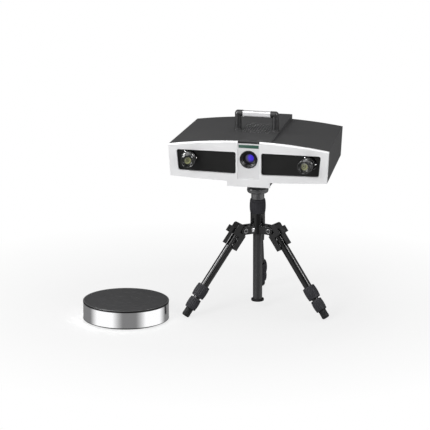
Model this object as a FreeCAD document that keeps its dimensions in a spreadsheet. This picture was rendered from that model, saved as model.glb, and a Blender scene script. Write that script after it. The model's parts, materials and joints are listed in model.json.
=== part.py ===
import FreeCAD, Part
import math
import os
import re
import Sketcher

# Desktop 3D scanner set: a scan head with two cameras and a projector on a mini tripod,
# and a motor-driven turntable beside it. Millimetres and degrees, Z up, the front faces -Y.

doc = FreeCAD.newDocument("desktop_scanner")
dims = doc.addObject("Spreadsheet::Sheet", "dims")
worked = doc.addObject("App::VarSet", "worked")
pieces = []

# Driving dimensions: name, value

DRIVING = (
    # Clearances
    ("rest_gap", 0.3), ("run_fit", 0.05),
    # Where the two standing pieces are
    ("tripod_x", 95), ("tripod_y", 32.8), ("tripod_turn", 9.3),
    ("table_x", -185), ("table_y", -126.9),
    # Head outline
    ("lens_to_side", 48), ("head_height", 75), ("head_depth", 243), ("arch_rise", 15),
    ("bottom_bow", 6.4), ("side_taper", 15), ("side_lean", 4.5), ("rear_lift", 7),
    ("axis_set_back", 106.7),
    # Front bezel, its windows, and the tab below it
    ("bezel_thickness", 6), ("bezel_bevel", 3), ("window_inner", 30), ("window_past_lens", 29),
    ("window_slant", 5), ("window_top", 63.6), ("window_low_inner", 11.2),
    ("window_low_outer", 14), ("window_corner", 5), ("tab_half", 50.5), ("tab_drop", 18.3),
    # Centre panel with the bare label place
    ("panel_half", 26), ("panel_set_back", 3), ("panel_top", 84), ("label_width", 48),
    ("label_height", 8.1), ("label_middle", 77.3), ("label_depth", 0.5),
    # Casing sheets
    ("casing_wall", 2.5), ("fascia_thickness", 2), ("sheet_gap", 0.1), ("pan_thickness", 3.5),
    ("bench_height", 12), ("bench_past_lens", 30), ("bench_depth", 54), ("bench_gap", 4),
    ("rear_inset", 3), ("rear_thickness", 2.5),
    # Spine cover and its vent
    ("boss_margin", 0.5), ("spine_wall", 2), ("spine_front_step", 1.2), ("spine_rear_step", 10),
    ("vent_middle", 114), ("vent_across", 6.2), ("vent_along", 9.5), ("vent_hole", 4.6),
    ("duct_half", 34), ("duct_length", 96), ("spine_nose", 40),
    # Handle
    ("handle_set_back", 95), ("handle_half", 44.5), ("handle_rod", 15.5), ("handle_rise", 45),
    ("boss_diameter", 18), ("boss_height", 2), ("grip_length", 66),
    ("grip_width", 14), ("grip_height", 12.5), ("grip_round", 3),
    # Mounting block under the head
    ("block_half", 48), ("block_length", 150), ("foot_half", 22), ("foot_half_depth", 22),
    ("foot_height", 25.7), ("foot_corner", 8), ("stud_diameter", 9.525), ("stud_reach", 9),
    ("stud_lead", 1), ("tap_depth", 14),
    # Cameras
    ("lens_spacing", 284), ("lens_height", 44), ("lens_port", 37), ("toe_in", 7),
    ("camera_size", 44), ("camera_length", 46), ("camera_set_back", 8), ("lens_length", 40),
    ("iris_diameter", 33), ("barrel_diameter", 26), ("focus_diameter", 33.6),
    ("focus_start", 9), ("focus_length", 15), ("hood_diameter", 31), ("lens_glass", 17),
    ("glass_thickness", 2.5), ("hood_depth", 8), ("hood_lip", 2), ("glass_crown", 1.5),
    # Projector
    ("projector_height", 46.6), ("projector_port", 42.4), ("projector_barrel", 41.6),
    ("projector_proud", 1.5), ("projector_width", 62), ("projector_length", 112),
    ("projector_top", 80), ("projector_set_back", 24), ("projector_glass_diameter", 23),
    ("projector_glass_depth", 12), ("fin_height", 9), ("fin_thickness", 3), ("fin_pitch", 8),
    ("baffle_step", 2.5), ("baffle_depth", 5), ("baffle_lip", 0.8), ("baffle_bevel", 1),
    # Control board and rear fittings
    ("board_side_gap", 30), ("board_rear_gap", 21.5), ("board_width", 110), ("board_depth", 60),
    ("board_thickness", 1.6), ("post_diameter", 7), ("chip_x", 20), ("chip_y", 16),
    ("chip_size", 28), ("chip_height", 4), ("coil_x", 70), ("coil_y", 14), ("coil_size", 14),
    ("coil_height", 9), ("header_x", 60), ("header_y", 44), ("header_length", 36),
    ("header_size", 8), ("memory_x", 56), ("memory_y", 34), ("memory_length", 22),
    ("memory_width", 6), ("memory_height", 2),
    ("fan_side", 95), ("fan_z", 46), ("fan_size", 50), ("fan_thickness", 15), ("fan_bore", 46),
    ("fan_hub", 19), ("fan_shaft", 3), ("fan_hub_length", 9), ("fan_strut", 2),
    ("blade_reach", 22), ("blade_root", 2), ("blade_thickness", 1.2), ("blade_chord", 9),
    ("blade_pitch", 35),
    ("grille_pitch", 5), ("grille_slot", 3),
    ("switch_side", 70), ("socket_pitch", 35), ("inlet_pitch", 30), ("fittings_z", 46),
    ("inlet_diameter", 11), ("inlet_bore", 5.6), ("inlet_pin", 2), ("inlet_length", 14),
    ("inlet_flange", 2), ("inlet_proud", 1.5), ("inlet_depth", 10),
    ("socket_width", 12), ("socket_height", 11), ("socket_length", 15), ("socket_wall", 1),
    ("socket_back", 3),
    ("switch_width", 14), ("switch_height", 20), ("switch_depth", 6), ("switch_pin", 2.5),
    ("switch_frame", 3), ("switch_pin_reach", 1.5), ("switch_proud", 2), ("switch_play", 0.8),
    ("switch_hollow", 1.5), ("switch_taper", 2), ("switch_tilt", 8),
    # Tripod legs
    ("leg_tilt", 37), ("leg_offset", 8), ("leg_length", 243.6), ("hinge_radius", 37.8),
    ("knuckle_radius", 9.5), ("tongue_width", 12), ("casting_width", 25), ("pin_diameter", 6),
    ("pin_head", 10), ("pin_head_height", 2), ("casting_inner", 9.5), ("casting_outer", 25),
    ("casting_length", 51.5), ("casting_step", 21), ("casting_top", 8), ("casting_round", 6),
    ("casting_edge", 3), ("casting_wall", 2.5), ("knuckle_room", 1.5),
    ("upper_tube", 19), ("middle_tube", 16.4), ("lower_tube", 13.8), ("tube_wall", 1.15),
    ("upper_lock", 31.5), ("upper_lock_length", 31), ("lower_lock", 28),
    ("lower_lock_length", 28), ("lock_spacing", 4), ("lock_seat", 18), ("lock_bulge", 1.2),
    ("rubber_foot", 18.5), ("foot_round", 4), ("foot_length", 20.6), ("foot_socket", 14),
    ("tube_top", 11.5), ("middle_top", 25), ("lower_top", 36),
    # Angle tab
    ("tab_depth", 10.7), ("tab_high", 7), ("tab_size", 16), ("tab_width", 15),
    ("lever_length", 29), ("lever_thickness", 5), ("lever_inset", 2.5), ("stem_length", 5),
    ("stem_width", 8), ("stem_height", 6),
    # Spider, column and platform
    ("spider_diameter", 34.5), ("spider_rise", 37.3), ("spider_drop", 11), ("ear_width", 24.6),
    ("ear_start", 5),
    ("collet_diameter", 29), ("collet_length", 24), ("column_diameter", 22),
    ("column_bore", 18), ("column_clearance", 17), ("cap_diameter", 30), ("cap_flange", 5),
    ("cap_plug", 12), ("cap_round", 1.5), ("collar_diameter", 38), ("collar_height", 33.4),
    ("collar_bulge", 1.5),
    ("hub_diameter", 31), ("hub_length", 15), ("disc_diameter", 50), ("disc_thickness", 13.7),
    ("disc_round", 5), ("column_socket", 6),
    # Turntable
    ("table_diameter", 200), ("shell_height", 38), ("shell_wall", 3), ("base_foot", 184),
    ("base_rise", 3.5), ("base_plate", 5), ("platter_rim", 4.5), ("platter_round", 1),
    ("spindle_diameter", 14), ("spindle_wall", 4), ("hub_wall", 6), ("gear_height", 8),
    ("gear_teeth", 72), ("pinion_teeth", 12), ("gear_module", 1.5), ("tooth_width", 1.7),
    ("tooth_slant", 0.35), ("tooth_reach", 1.1), ("tooth_root", 1.6), ("motor_diameter", 28),
    ("motor_height", 18), ("motor_shaft", 4), ("pinion_height", 7),
)

LEGS = (("left", 210), ("right", 330), ("rear", 90))
VENT_COLUMNS = 11
VENT_ROWS = 9
FAN_BLADES = 7
GRILLE_SLOTS = 9
FIN_SLOTS = 8

for row, (alias, value) in enumerate(DRIVING, start=1):
    dims.set(f"A{row}", alias)
    dims.set(f"B{row}", str(value))
    dims.setAlias(f"B{row}", alias)
doc.recompute()
DRIVING_NAMES = {alias for alias, value in DRIVING}


# Formulas

def full(formula):
    # Each known word of a formula gets the name of the object that holds it.
    def owner(match):
        word = match.group(0)
        if word in DRIVING_NAMES:
            return "dims." + word
        if hasattr(worked, word):
            return "worked." + word
        return word
    return re.sub(r"[a-z][a-z_0-9]*", owner, str(formula))


def work_out(name, formula):
    bound = full(formula)
    worked.addProperty("App::PropertyFloat", name, "Worked", "")
    worked.setExpression(name, bound)
    setattr(worked, name, float(dims.evalExpression(bound)))


def number(formula):
    return float(dims.evalExpression(full(formula)))


def bind(item, **formulas):
    for name, formula in formulas.items():
        item.setExpression(name, full(formula))


# Places

def placement(x=0, y=0, z=0, yaw=0, pitch=0, roll=0):
    return (f"placement(vector({full(x)}; {full(y)}; {full(z)}); "
            f"rotation({full(yaw)}; {full(pitch)}; {full(roll)}))")


def frame(name, parent=None, **where):
    item = doc.addObject("App::Placement", name)
    place = placement(**where)
    if parent:
        place = f"{parent}.Placement * {place}"
    item.setExpression("Placement", place)
    return name


def finish(label, item, frame_name=None):
    item.Label = label
    if frame_name:
        item.setExpression("Placement", f"{frame_name}.Placement")
    pieces.append(item)
    return item


# Sketches: a corner is (x, y), or (x, y, radius) where the edge that leaves it is an arc that
# bulges outward, or (x, y, radius, "in") where it bulges inward. Corners run anticlockwise.

def add_sketch(body, name, plane, lift=0):
    sketch = body.newObject("Sketcher::SketchObject", name)
    support = [item for item in body.Origin.OriginFeatures if item.Role == plane][0]
    sketch.AttachmentSupport = [(support, "")]
    sketch.MapMode = "FlatFace"
    sketch.setExpression(".AttachmentOffset.Base.z", full(lift))
    return sketch


def arc_middle(start, end, radius, inward):
    chord = end - start
    half = chord.Length / 2
    height = radius - math.sqrt(radius ** 2 - half ** 2)
    outward = FreeCAD.Vector(chord.y, -chord.x, 0).normalize()
    return (start + end) * 0.5 + outward * (-height if inward else height)


def pin_point(sketch, edge, end, x, y, tag):
    for axis, kind, formula in (("x", "DistanceX", x), ("y", "DistanceY", y)):
        if str(formula) == "0":
            line = -2 if axis == "x" else -1
            sketch.addConstraint(Sketcher.Constraint("PointOnObject", edge, end, line))
            continue
        limit = Sketcher.Constraint(kind, -1, 1, edge, end, number(formula))
        index = sketch.addConstraint(limit)
        sketch.renameConstraint(index, f"{axis}_{tag}")
        sketch.setExpression(f"Constraints.{axis}_{tag}", full(formula))


def add_outline(sketch, corners):
    first = len(sketch.Geometry)
    points = [FreeCAD.Vector(number(c[0]), number(c[1]), 0) for c in corners]
    ends = []
    for index, corner in enumerate(corners):
        start = points[index]
        end = points[(index + 1) % len(points)]
        if len(corner) == 2:
            edge = sketch.addGeometry(Part.LineSegment(start, end), False)
            ends.append((edge, 1, 2))
            continue
        inward = len(corner) == 4
        middle = arc_middle(start, end, number(corner[2]), inward)
        if inward:
            edge = sketch.addGeometry(Part.Arc(end, middle, start), False)
            ends.append((edge, 2, 1))
        else:
            edge = sketch.addGeometry(Part.Arc(start, middle, end), False)
            ends.append((edge, 1, 2))
    for index, (edge, start, end) in enumerate(ends):
        follower = ends[(index + 1) % len(ends)]
        join = Sketcher.Constraint("Coincident", edge, end, follower[0], follower[1])
        sketch.addConstraint(join)
    for index, (edge, start, end) in enumerate(ends):
        corner = corners[index]
        tag = f"{first}_{index}"
        pin_point(sketch, edge, start, corner[0], corner[1], tag)
        if len(corner) > 2:
            limit = Sketcher.Constraint("Radius", edge, number(corner[2]))
            sketch.renameConstraint(sketch.addConstraint(limit), f"bend_{tag}")
            sketch.setExpression(f"Constraints.bend_{tag}", full(corner[2]))


def add_circle(sketch, x, y, diameter):
    centre = FreeCAD.Vector(number(x), number(y), 0)
    circle = Part.Circle(centre, FreeCAD.Vector(0, 0, 1), number(diameter) / 2)
    edge = sketch.addGeometry(circle, False)
    limit = Sketcher.Constraint("Diameter", edge, number(diameter))
    sketch.renameConstraint(sketch.addConstraint(limit), f"bore_{edge}")
    sketch.setExpression(f"Constraints.bore_{edge}", full(diameter))
    pin_point(sketch, edge, 3, x, y, f"middle_{edge}")


def rounded(left, low, right, high, corner):
    return ((f"{left} + {corner}", low), (f"{right} - {corner}", low, corner),
            (right, f"{low} + {corner}"), (right, f"{high} - {corner}", corner),
            (f"{right} - {corner}", high), (f"{left} + {corner}", high, corner),
            (left, f"{high} - {corner}"), (left, f"{low} + {corner}", corner))


# Body features

def new_body(name):
    return doc.addObject("PartDesign::Body", name)


def pad(body, name, plane, corners, length, lift=0, turn_back=False, both_ways=False):
    sketch = add_sketch(body, name + "_sketch", plane, lift)
    add_outline(sketch, corners)
    feature = body.newObject("PartDesign::Pad", name)
    return set_depth(feature, sketch, length, turn_back, both_ways)


def pocket(body, name, plane, corners, length, lift=0, turn_back=False, both_ways=False):
    sketch = add_sketch(body, name + "_sketch", plane, lift)
    add_outline(sketch, corners)
    feature = body.newObject("PartDesign::Pocket", name)
    return set_depth(feature, sketch, length, turn_back, both_ways)


def bore(body, name, plane, x, y, diameter, length, lift=0, turn_back=False, both_ways=False):
    sketch = add_sketch(body, name + "_sketch", plane, lift)
    add_circle(sketch, x, y, diameter)
    feature = body.newObject("PartDesign::Pocket", name)
    return set_depth(feature, sketch, length, turn_back, both_ways)


def set_depth(feature, sketch, length, turn_back, both_ways):
    feature.Profile = sketch
    feature.Reversed = turn_back
    if both_ways:
        feature.SideType = "Symmetric"
    bind(feature, Length=length)
    return feature


def turned(name, corners):
    # A profile of (radius, height) corners, turned about the Z axis.
    body = new_body(name)
    sketch = add_sketch(body, name + "_profile", "XZ_Plane")
    add_outline(sketch, corners)
    feature = body.newObject("PartDesign::Revolution", name + "_turn")
    feature.Profile = sketch
    feature.ReferenceAxis = (sketch, ["V_Axis"])
    feature.Angle = 360
    return body


def turned_forward(name, corners):
    # A profile of (radius, depth) corners, turned about the Y axis.
    body = new_body(name)
    sketch = add_sketch(body, name + "_profile", "XY_Plane")
    add_outline(sketch, corners)
    feature = body.newObject("PartDesign::Revolution", name + "_turn")
    feature.Profile = sketch
    feature.ReferenceAxis = (sketch, ["V_Axis"])
    feature.Angle = 360
    return body


def edges_where(feature, wanted):
    edges = enumerate(feature.Shape.Edges, start=1)
    return [f"Edge{index}" for index, edge in edges if wanted(edge)]


# Part primitives and booleans

def box(name, low, size, **turn):
    item = doc.addObject("Part::Box", name)
    bind(item, Length=size[0], Width=size[1], Height=size[2])
    item.setExpression("Placement", placement(low[0], low[1], low[2], **turn))
    return item


def rod(name, diameter, length, x=0, y=0, z=0, **turn):
    item = doc.addObject("Part::Cylinder", name)
    bind(item, Radius=f"({diameter}) / 2", Height=length)
    item.setExpression("Placement", placement(x, y, z, **turn))
    return item


def fuse(name, *shapes):
    item = doc.addObject("Part::MultiFuse", name)
    item.Shapes = list(shapes)
    return item


def cut(name, base, *tools):
    item = doc.addObject("Part::Cut", name)
    item.Base = base
    item.Tool = tools[0] if len(tools) == 1 else fuse(name + "_tools", *tools)
    return item


def common(name, first, second):
    item = doc.addObject("Part::Common", name)
    item.Base = first
    item.Tool = second
    return item


def group(name, *items):
    item = doc.addObject("Part::Compound", name)
    item.Links = list(items)
    return item


# Worked-out sizes

work_out("head_width", "lens_spacing + 2 * lens_to_side")
work_out("window_outer_top", "lens_spacing / 2 + window_past_lens")
work_out("window_outer_low", "window_outer_top - window_slant")
work_out("bench_half", "lens_spacing / 2 + bench_past_lens")
work_out("fan_x", "fan_side - head_width / 2")
work_out("switch_x", "head_width / 2 - switch_side")
work_out("socket_x", "switch_x - socket_pitch")
work_out("inlet_x", "socket_x - inlet_pitch")
work_out("arch_radius", "((head_width / 2)^2 + arch_rise^2) / (2 * arch_rise)")
work_out("crown", "head_height + arch_rise")
work_out("taper_rate", "side_taper / (head_depth - bezel_thickness)")
work_out("lean_rate", "side_lean / head_height")
work_out("lift_rate", "rear_lift / (head_depth - bezel_thickness)")
work_out("fascia_back", "bezel_thickness + fascia_thickness")
work_out("rear_back", "head_depth - rear_inset")
work_out("rear_front", "rear_back - rear_thickness")
work_out("board_x", "head_width / 2 - board_side_gap - board_width / 2")
work_out("board_y", "rear_front - board_rear_gap - board_depth / 2")
work_out("hinge_height", "leg_length * cos(leg_tilt) - leg_offset * sin(leg_tilt)"
         " + foot_round * (1 - cos(leg_tilt))"
         " + (rubber_foot / 2 - foot_round) * sin(leg_tilt)")
work_out("spider_low", "hinge_height - spider_drop")
work_out("spider_top", "hinge_height + spider_rise")
work_out("collar_low", "spider_top + rest_gap")
work_out("collar_top", "collar_low + collar_height")
work_out("hub_low", "collar_top + rest_gap")
work_out("disc_low", "hub_low + hub_length")
work_out("disc_top", "disc_low + disc_thickness")
work_out("column_top", "disc_low + column_socket")
work_out("column_low", "column_clearance + cap_flange")
work_out("block_foot", "disc_top + rest_gap")
work_out("head_low", "block_foot + foot_height + tab_drop")
work_out("slope", "(spine_rear_step - spine_front_step) / (head_depth - bezel_thickness)")
work_out("spine_half", "handle_half + boss_diameter / 2 + boss_margin")
work_out("spine_at_handle", "crown + spine_front_step"
         " + slope * (handle_set_back - bezel_thickness)")
work_out("handle_seat", "spine_at_handle + boss_height")
work_out("grip_middle", "handle_seat + handle_rise - handle_rod / 2")

for tube in ("upper", "middle", "lower"):
    work_out(f"{tube}_radius", f"{tube}_tube / 2")
work_out("lower_lock_low", "leg_length - foot_length - rest_gap")
work_out("lower_lock_high", "lower_lock_low - lower_lock_length")
work_out("upper_lock_low", "lower_lock_high - lock_spacing")
work_out("upper_lock_high", "upper_lock_low - upper_lock_length")
work_out("upper_end", "upper_lock_high + lock_seat")
work_out("middle_end", "lower_lock_high + lock_seat")
work_out("lower_end", "leg_length - foot_length + foot_socket")
work_out("shell_bore", "table_diameter - 2 * shell_wall")
work_out("shell_top", "base_rise + shell_height")
work_out("plate_top", "base_rise + base_plate")
work_out("motor_top", "plate_top + motor_height")
work_out("platter_low", "shell_top + rest_gap")
work_out("platter_top", "platter_low + platter_rim")
work_out("gear_low", "platter_low - gear_height")
work_out("spindle_shoulder", "gear_low - hub_wall")
work_out("spindle_top", "platter_low + platter_round")
work_out("gear_pitch", "gear_teeth * gear_module / 2")
work_out("pinion_pitch", "pinion_teeth * gear_module / 2")

# Frames that the pieces are placed in

TRIPOD = frame("tripod_frame", x="tripod_x", y="tripod_y", yaw="tripod_turn")
HEAD = frame("head_frame", x="tripod_x", y="tripod_y - axis_set_back", z="head_low")
TABLE = frame("table_frame", x="table_x", y="table_y")
CAMERAS = {}
for side, sign in (("left", -1), ("right", 1)):
    CAMERAS[side] = frame(f"camera_frame_{side}", HEAD, x=f"{sign} * lens_spacing / 2",
                          y="bezel_thickness", z="lens_height", yaw=f"{-sign} * toe_in")
PROJECTOR = frame("projector_frame", HEAD, z="projector_height")
FAN = frame("fan_place", HEAD, x="fan_x", y="rear_front - fan_thickness", z="fan_z", roll=-90)
INLET = frame("inlet_frame", HEAD, x="inlet_x", y="rear_back", z="fittings_z", roll=-90)
SOCKET = frame("socket_frame", HEAD, x="socket_x", y="rear_back", z="fittings_z")
SWITCH = frame("switch_frame_place", HEAD, x="switch_x", y="rear_front - switch_depth / 2",
               z="fittings_z", roll="switch_tilt")
DRIVE = frame("drive_frame", TABLE, x="gear_pitch + pinion_pitch")
LEG_FRAMES = {}
TUBE_FRAMES = {}
for side, azimuth in LEGS:
    LEG_FRAMES[side] = frame(f"leg_frame_{side}", TRIPOD, x=f"hinge_radius * cos({azimuth})",
                             y=f"hinge_radius * sin({azimuth})", z="hinge_height",
                             yaw=azimuth, pitch="-leg_tilt")
    TUBE_FRAMES[side] = frame(f"tube_frame_{side}", LEG_FRAMES[side], x="leg_offset")


# The head's outline at a distance behind its front: the bottom is bowed, the sides lean in
# below and close in toward the back, and the top is arched

def work_out_section(tag, depth, inset, low, top):
    shoulder = (f"(head_width / 2 - taper_rate * (({depth}) - bezel_thickness) - ({inset}))")
    work_out(f"{tag}_low_z", f"lift_rate * (({depth}) - bezel_thickness) + ({low})")
    work_out(f"{tag}_low_x", f"{shoulder} - lean_rate * (head_height - {tag}_low_z)")
    work_out(f"{tag}_bow", f"({tag}_low_x^2 + bottom_bow^2) / (2 * bottom_bow)")
    work_out(f"{tag}_arch", f"arch_radius - ({top})")
    work_out(f"{tag}_first_z", f"crown - arch_radius + sqrt({tag}_arch^2 - {shoulder}^2)")
    work_out(f"{tag}_top_x", f"{shoulder} + lean_rate * ({tag}_first_z - head_height)")
    work_out(f"{tag}_top_z", f"crown - arch_radius + sqrt({tag}_arch^2 - {tag}_top_x^2)")


def section_corners(tag):
    return ((f"-{tag}_low_x", f"{tag}_low_z", f"{tag}_bow"), (f"{tag}_low_x", f"{tag}_low_z"),
            (f"{tag}_top_x", f"{tag}_top_z", f"{tag}_arch"),
            (f"-{tag}_top_x", f"{tag}_top_z"))


def flat_top_corners(tag, height):
    reach = f"{tag}_low_x + lean_rate * ({height} - {tag}_low_z)"
    return ((f"-{tag}_low_x", f"{tag}_low_z", f"{tag}_bow"), (f"{tag}_low_x", f"{tag}_low_z"),
            (reach, height), (f"-({reach})", height))


def outline_loft(name, front, back, inset=0, low=0, top=0, flat_top=None):
    body = new_body(name)
    sketches = []
    for end, depth in (("front", front), ("back", back)):
        tag = f"{name}_{end}"
        work_out_section(tag, depth, inset, low, top)
        corners = section_corners(tag) if flat_top is None else flat_top_corners(tag, flat_top)
        sketch = add_sketch(body, f"{tag}_sketch", "XZ_Plane", f"-({depth})")
        add_outline(sketch, corners)
        sketches.append(sketch)
    loft = body.newObject("PartDesign::AdditiveLoft", name + "_loft")
    loft.Profile = sketches[0]
    loft.Sections = [sketches[1]]
    loft.Ruled = True
    return body


def head_envelope(name):
    return outline_loft(name, "bezel_thickness", "head_depth")


# Head: front

def make_front_bezel():
    body = new_body("bezel_body")
    work_out_section("bezel", "bezel_thickness", 0, 0, 0)
    pad(body, "bezel_plate", "XZ_Plane", section_corners("bezel"), "bezel_thickness",
        turn_back=True)
    tab = (("-tab_half", "-tab_drop"), ("tab_half", "-tab_drop"), ("tab_half", 0),
           ("-tab_half", 0))
    pad(body, "bezel_tab", "XZ_Plane", tab, "bezel_thickness", turn_back=True)
    for side, sign in (("left", -1), ("right", 1)):
        corners = [(f"{sign} * window_inner", "window_low_inner"),
                   (f"{sign} * window_outer_low", "window_low_outer"),
                   (f"{sign} * window_outer_top", "window_top"),
                   (f"{sign} * window_inner", "window_top")]
        pocket(body, f"window_{side}", "XZ_Plane", corners[::sign], "bezel_thickness")
    notch = (("-panel_half", 0), ("panel_half", 0), ("panel_half", "crown + 1"),
             ("-panel_half", "crown + 1"))
    last = pocket(body, "panel_notch", "XZ_Plane", notch, "bezel_thickness")
    doc.recompute()

    def at_window_corner(edge):
        middle = edge.CenterOfMass
        along = edge.BoundBox.YLength > 0.99 * dims.bezel_thickness
        high = dims.window_low_inner - 1 < middle.z < dims.window_top + 1
        return along and high and dims.panel_half + 1 < abs(middle.x) < worked.window_outer_top + 1

    rounds = body.newObject("PartDesign::Fillet", "window_rounds")
    rounds.Base = (last, edges_where(last, at_window_corner))
    bind(rounds, Radius="window_corner")
    doc.recompute()

    def at_top_front(edge):
        box_of = edge.BoundBox
        return box_of.YMax < 0.01 and box_of.ZMin > dims.head_height - 1 and box_of.XLength > 20

    bevel = body.newObject("PartDesign::Chamfer", "top_bevel")
    bevel.Base = (rounds, edges_where(rounds, at_top_front))
    bind(bevel, Size="bezel_bevel")
    return finish("front_bezel", body, HEAD)


def make_centre_panel():
    body = new_body("centre_panel_body")
    plate = (("-panel_half", 0), ("panel_half", 0), ("panel_half", "panel_top"),
             ("-panel_half", "panel_top"))
    pad(body, "panel_plate", "XZ_Plane", plate, "bezel_thickness - panel_set_back",
        lift="-panel_set_back", turn_back=True)
    bore(body, "panel_port", "XZ_Plane", 0, "projector_height", "projector_port",
         "bezel_thickness", lift="-panel_set_back")
    label = (("-label_width / 2", "label_middle - label_height / 2"),
             ("label_width / 2", "label_middle - label_height / 2"),
             ("label_width / 2", "label_middle + label_height / 2"),
             ("-label_width / 2", "label_middle + label_height / 2"))
    pocket(body, "label_place", "XZ_Plane", label, "label_depth", lift="-panel_set_back")
    return finish("centre_panel", body, HEAD)


def make_fascia_panel():
    plate = outline_loft("fascia_plate", "bezel_thickness", "fascia_back",
                         inset="casing_wall + sheet_gap", low="pan_thickness + sheet_gap",
                         top="casing_wall + sheet_gap")
    ports = [rod(f"lens_port_{side}", "lens_port", "4 * fascia_thickness",
                 x=f"{sign} * lens_spacing / 2", y="bezel_thickness - fascia_thickness",
                 z="lens_height", roll=-90) for side, sign in (("left", -1), ("right", 1))]
    ports.append(rod("projector_opening", "projector_port", "4 * fascia_thickness",
                     y="bezel_thickness - fascia_thickness", z="projector_height", roll=-90))
    return finish("fascia_panel", cut("fascia", plate, *ports), HEAD)


# Head: casing

def make_housing_shell():
    outside = head_envelope("shell_outside")
    inside = outline_loft("shell_inside", "bezel_thickness - 1", "head_depth + 1",
                          inset="casing_wall", low="-2 * tab_drop", top="casing_wall")
    duct = box("shell_duct", ("-duct_half", "vent_middle - duct_length / 2", "head_height"),
               ("2 * duct_half", "duct_length", "2 * arch_rise"))
    return finish("housing_shell", cut("shell", outside, inside, duct), HEAD)


def make_spine_cover():
    body = new_body("spine_body")
    wedge = (("bezel_thickness", "head_height"), ("head_depth", "head_height"),
             ("head_depth", "crown + spine_rear_step"),
             ("bezel_thickness", "crown + spine_front_step"))
    pad(body, "spine_wedge", "YZ_Plane", wedge, "2 * spine_half", both_ways=True)
    start = "(bezel_thickness + spine_nose)"
    hollow = ((start, "head_height - 1"), ("head_depth - spine_wall", "head_height - 1"),
              ("head_depth - spine_wall",
               "crown + spine_rear_step - spine_wall - slope * spine_wall"),
              (start, "crown + spine_front_step - spine_wall + spine_nose * slope"))
    pocket(body, "spine_hollow", "YZ_Plane", hollow, "2 * (spine_half - spine_wall)",
           both_ways=True)
    for side, sign in (("left", -1), ("right", 1)):
        sketch = add_sketch(body, f"boss_{side}_sketch", "XY_Plane", "handle_seat")
        add_circle(sketch, f"{sign} * handle_half", "handle_set_back", "boss_diameter")
        boss = body.newObject("PartDesign::Pad", f"boss_{side}")
        set_depth(boss, sketch, "boss_height + spine_wall", True, False)
    hole = bore(body, "vent_hole_first", "XY_Plane",
                f"-vent_across * {VENT_COLUMNS - 1} / 2",
                f"vent_middle - vent_along * {VENT_ROWS - 1} / 2", "vent_hole",
                "spine_rear_step + arch_rise", lift="crown + spine_rear_step")
    vent = body.newObject("PartDesign::LinearPattern", "vent_pattern")
    vent.Originals = [hole]
    vent.Direction = (hole.Profile[0], ["H_Axis"])
    vent.Mode = "Spacing"
    vent.Occurrences = VENT_COLUMNS
    vent.Direction2 = (hole.Profile[0], ["V_Axis"])
    vent.Mode2 = "Spacing"
    vent.Occurrences2 = VENT_ROWS
    bind(vent, Offset="vent_across", Offset2="vent_along")
    body.Tip = vent
    below = head_envelope("spine_seat")
    return finish("spine_cover", cut("spine", body, below), HEAD)


def make_base_pan():
    slab = outline_loft("pan_slab", "bezel_thickness", "head_depth",
                        inset="casing_wall + sheet_gap", flat_top="bench_height")
    space = outline_loft("pan_space", "bezel_thickness - 1", "head_depth + 1",
                         inset="-casing_wall", low="pan_thickness",
                         flat_top="2 * bench_height")
    deep = "2 * tab_drop + bench_height"
    bench = box("pan_bench", ("-bench_half", "fascia_back + bench_gap", "-2 * tab_drop"),
                ("2 * bench_half", "bench_depth", deep))
    seat = box("pan_projector_seat", ("-projector_width / 2", "fascia_back", "-2 * tab_drop"),
               ("projector_width", "projector_set_back + projector_length - fascia_back", deep))
    posts = []
    for column in (-1, 1):
        for line in (-1, 1):
            posts.append(rod(f"board_post_{column + 1}_{line + 1}", "post_diameter", deep,
                             x=f"board_x + {column} * (board_width / 2 - post_diameter)",
                             y=f"board_y + {line} * (board_depth / 2 - post_diameter)",
                             z="-2 * tab_drop"))
    kept = cut("pan_hollow", space, bench, seat, *posts)
    return finish("base_pan", cut("pan", slab, kept), HEAD)


def make_mount_block():
    block = box("block_box", ("-block_half", "bezel_thickness", "-tab_drop"),
                ("2 * block_half", "block_length - bezel_thickness", "tab_drop + rear_lift"))
    foot = new_body("block_foot_body")
    front = "axis_set_back - foot_half_depth"
    back = "axis_set_back + foot_half_depth"
    corners = rounded("-foot_half", front, "foot_half", back, "foot_corner")
    pad(foot, "block_foot_pad", "XY_Plane", corners, "foot_height",
        lift="-tab_drop - foot_height")
    above = head_envelope("block_seat")
    tap = rod("block_tap", "stud_diameter + 2 * run_fit", "tap_depth", y="axis_set_back",
              z="-tab_drop - foot_height")
    solid = cut("block_solid", fuse("block_sum", block, foot), above)
    return finish("mount_block", cut("block", solid, tap), HEAD)


# Head: handle

def make_handle():
    ends = []
    for side, sign in (("left", -1), ("right", 1)):
        across = f"{sign} * handle_half"
        leg = rod(f"handle_leg_{side}", "handle_rod", "grip_middle - handle_seat", x=across,
                  y="handle_set_back", z="handle_seat")
        elbow = doc.addObject("Part::Sphere", f"handle_elbow_{side}")
        bind(elbow, Radius="handle_rod / 2")
        elbow.setExpression("Placement", placement(across, "handle_set_back", "grip_middle"))
        start = across if sign < 0 else "grip_length / 2"
        arm = rod(f"handle_arm_{side}", "handle_rod", "handle_half - grip_length / 2",
                  x=start, y="handle_set_back", z="grip_middle", pitch=90)
        ends.append(fuse(f"handle_end_{side}", leg, elbow, arm))
    finish("handle_ends", group("handle_pair", *ends), HEAD)

    grip = new_body("grip_body")
    front = "handle_set_back - grip_width / 2"
    back = "handle_set_back + grip_width / 2"
    low = "grip_middle - grip_height / 2"
    high = "grip_middle + grip_height / 2"
    pad(grip, "grip_bar", "YZ_Plane", rounded(front, low, back, high, "grip_round"),
        "grip_length", both_ways=True)
    finish("handle_grip", grip, HEAD)


# Head: cameras

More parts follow.
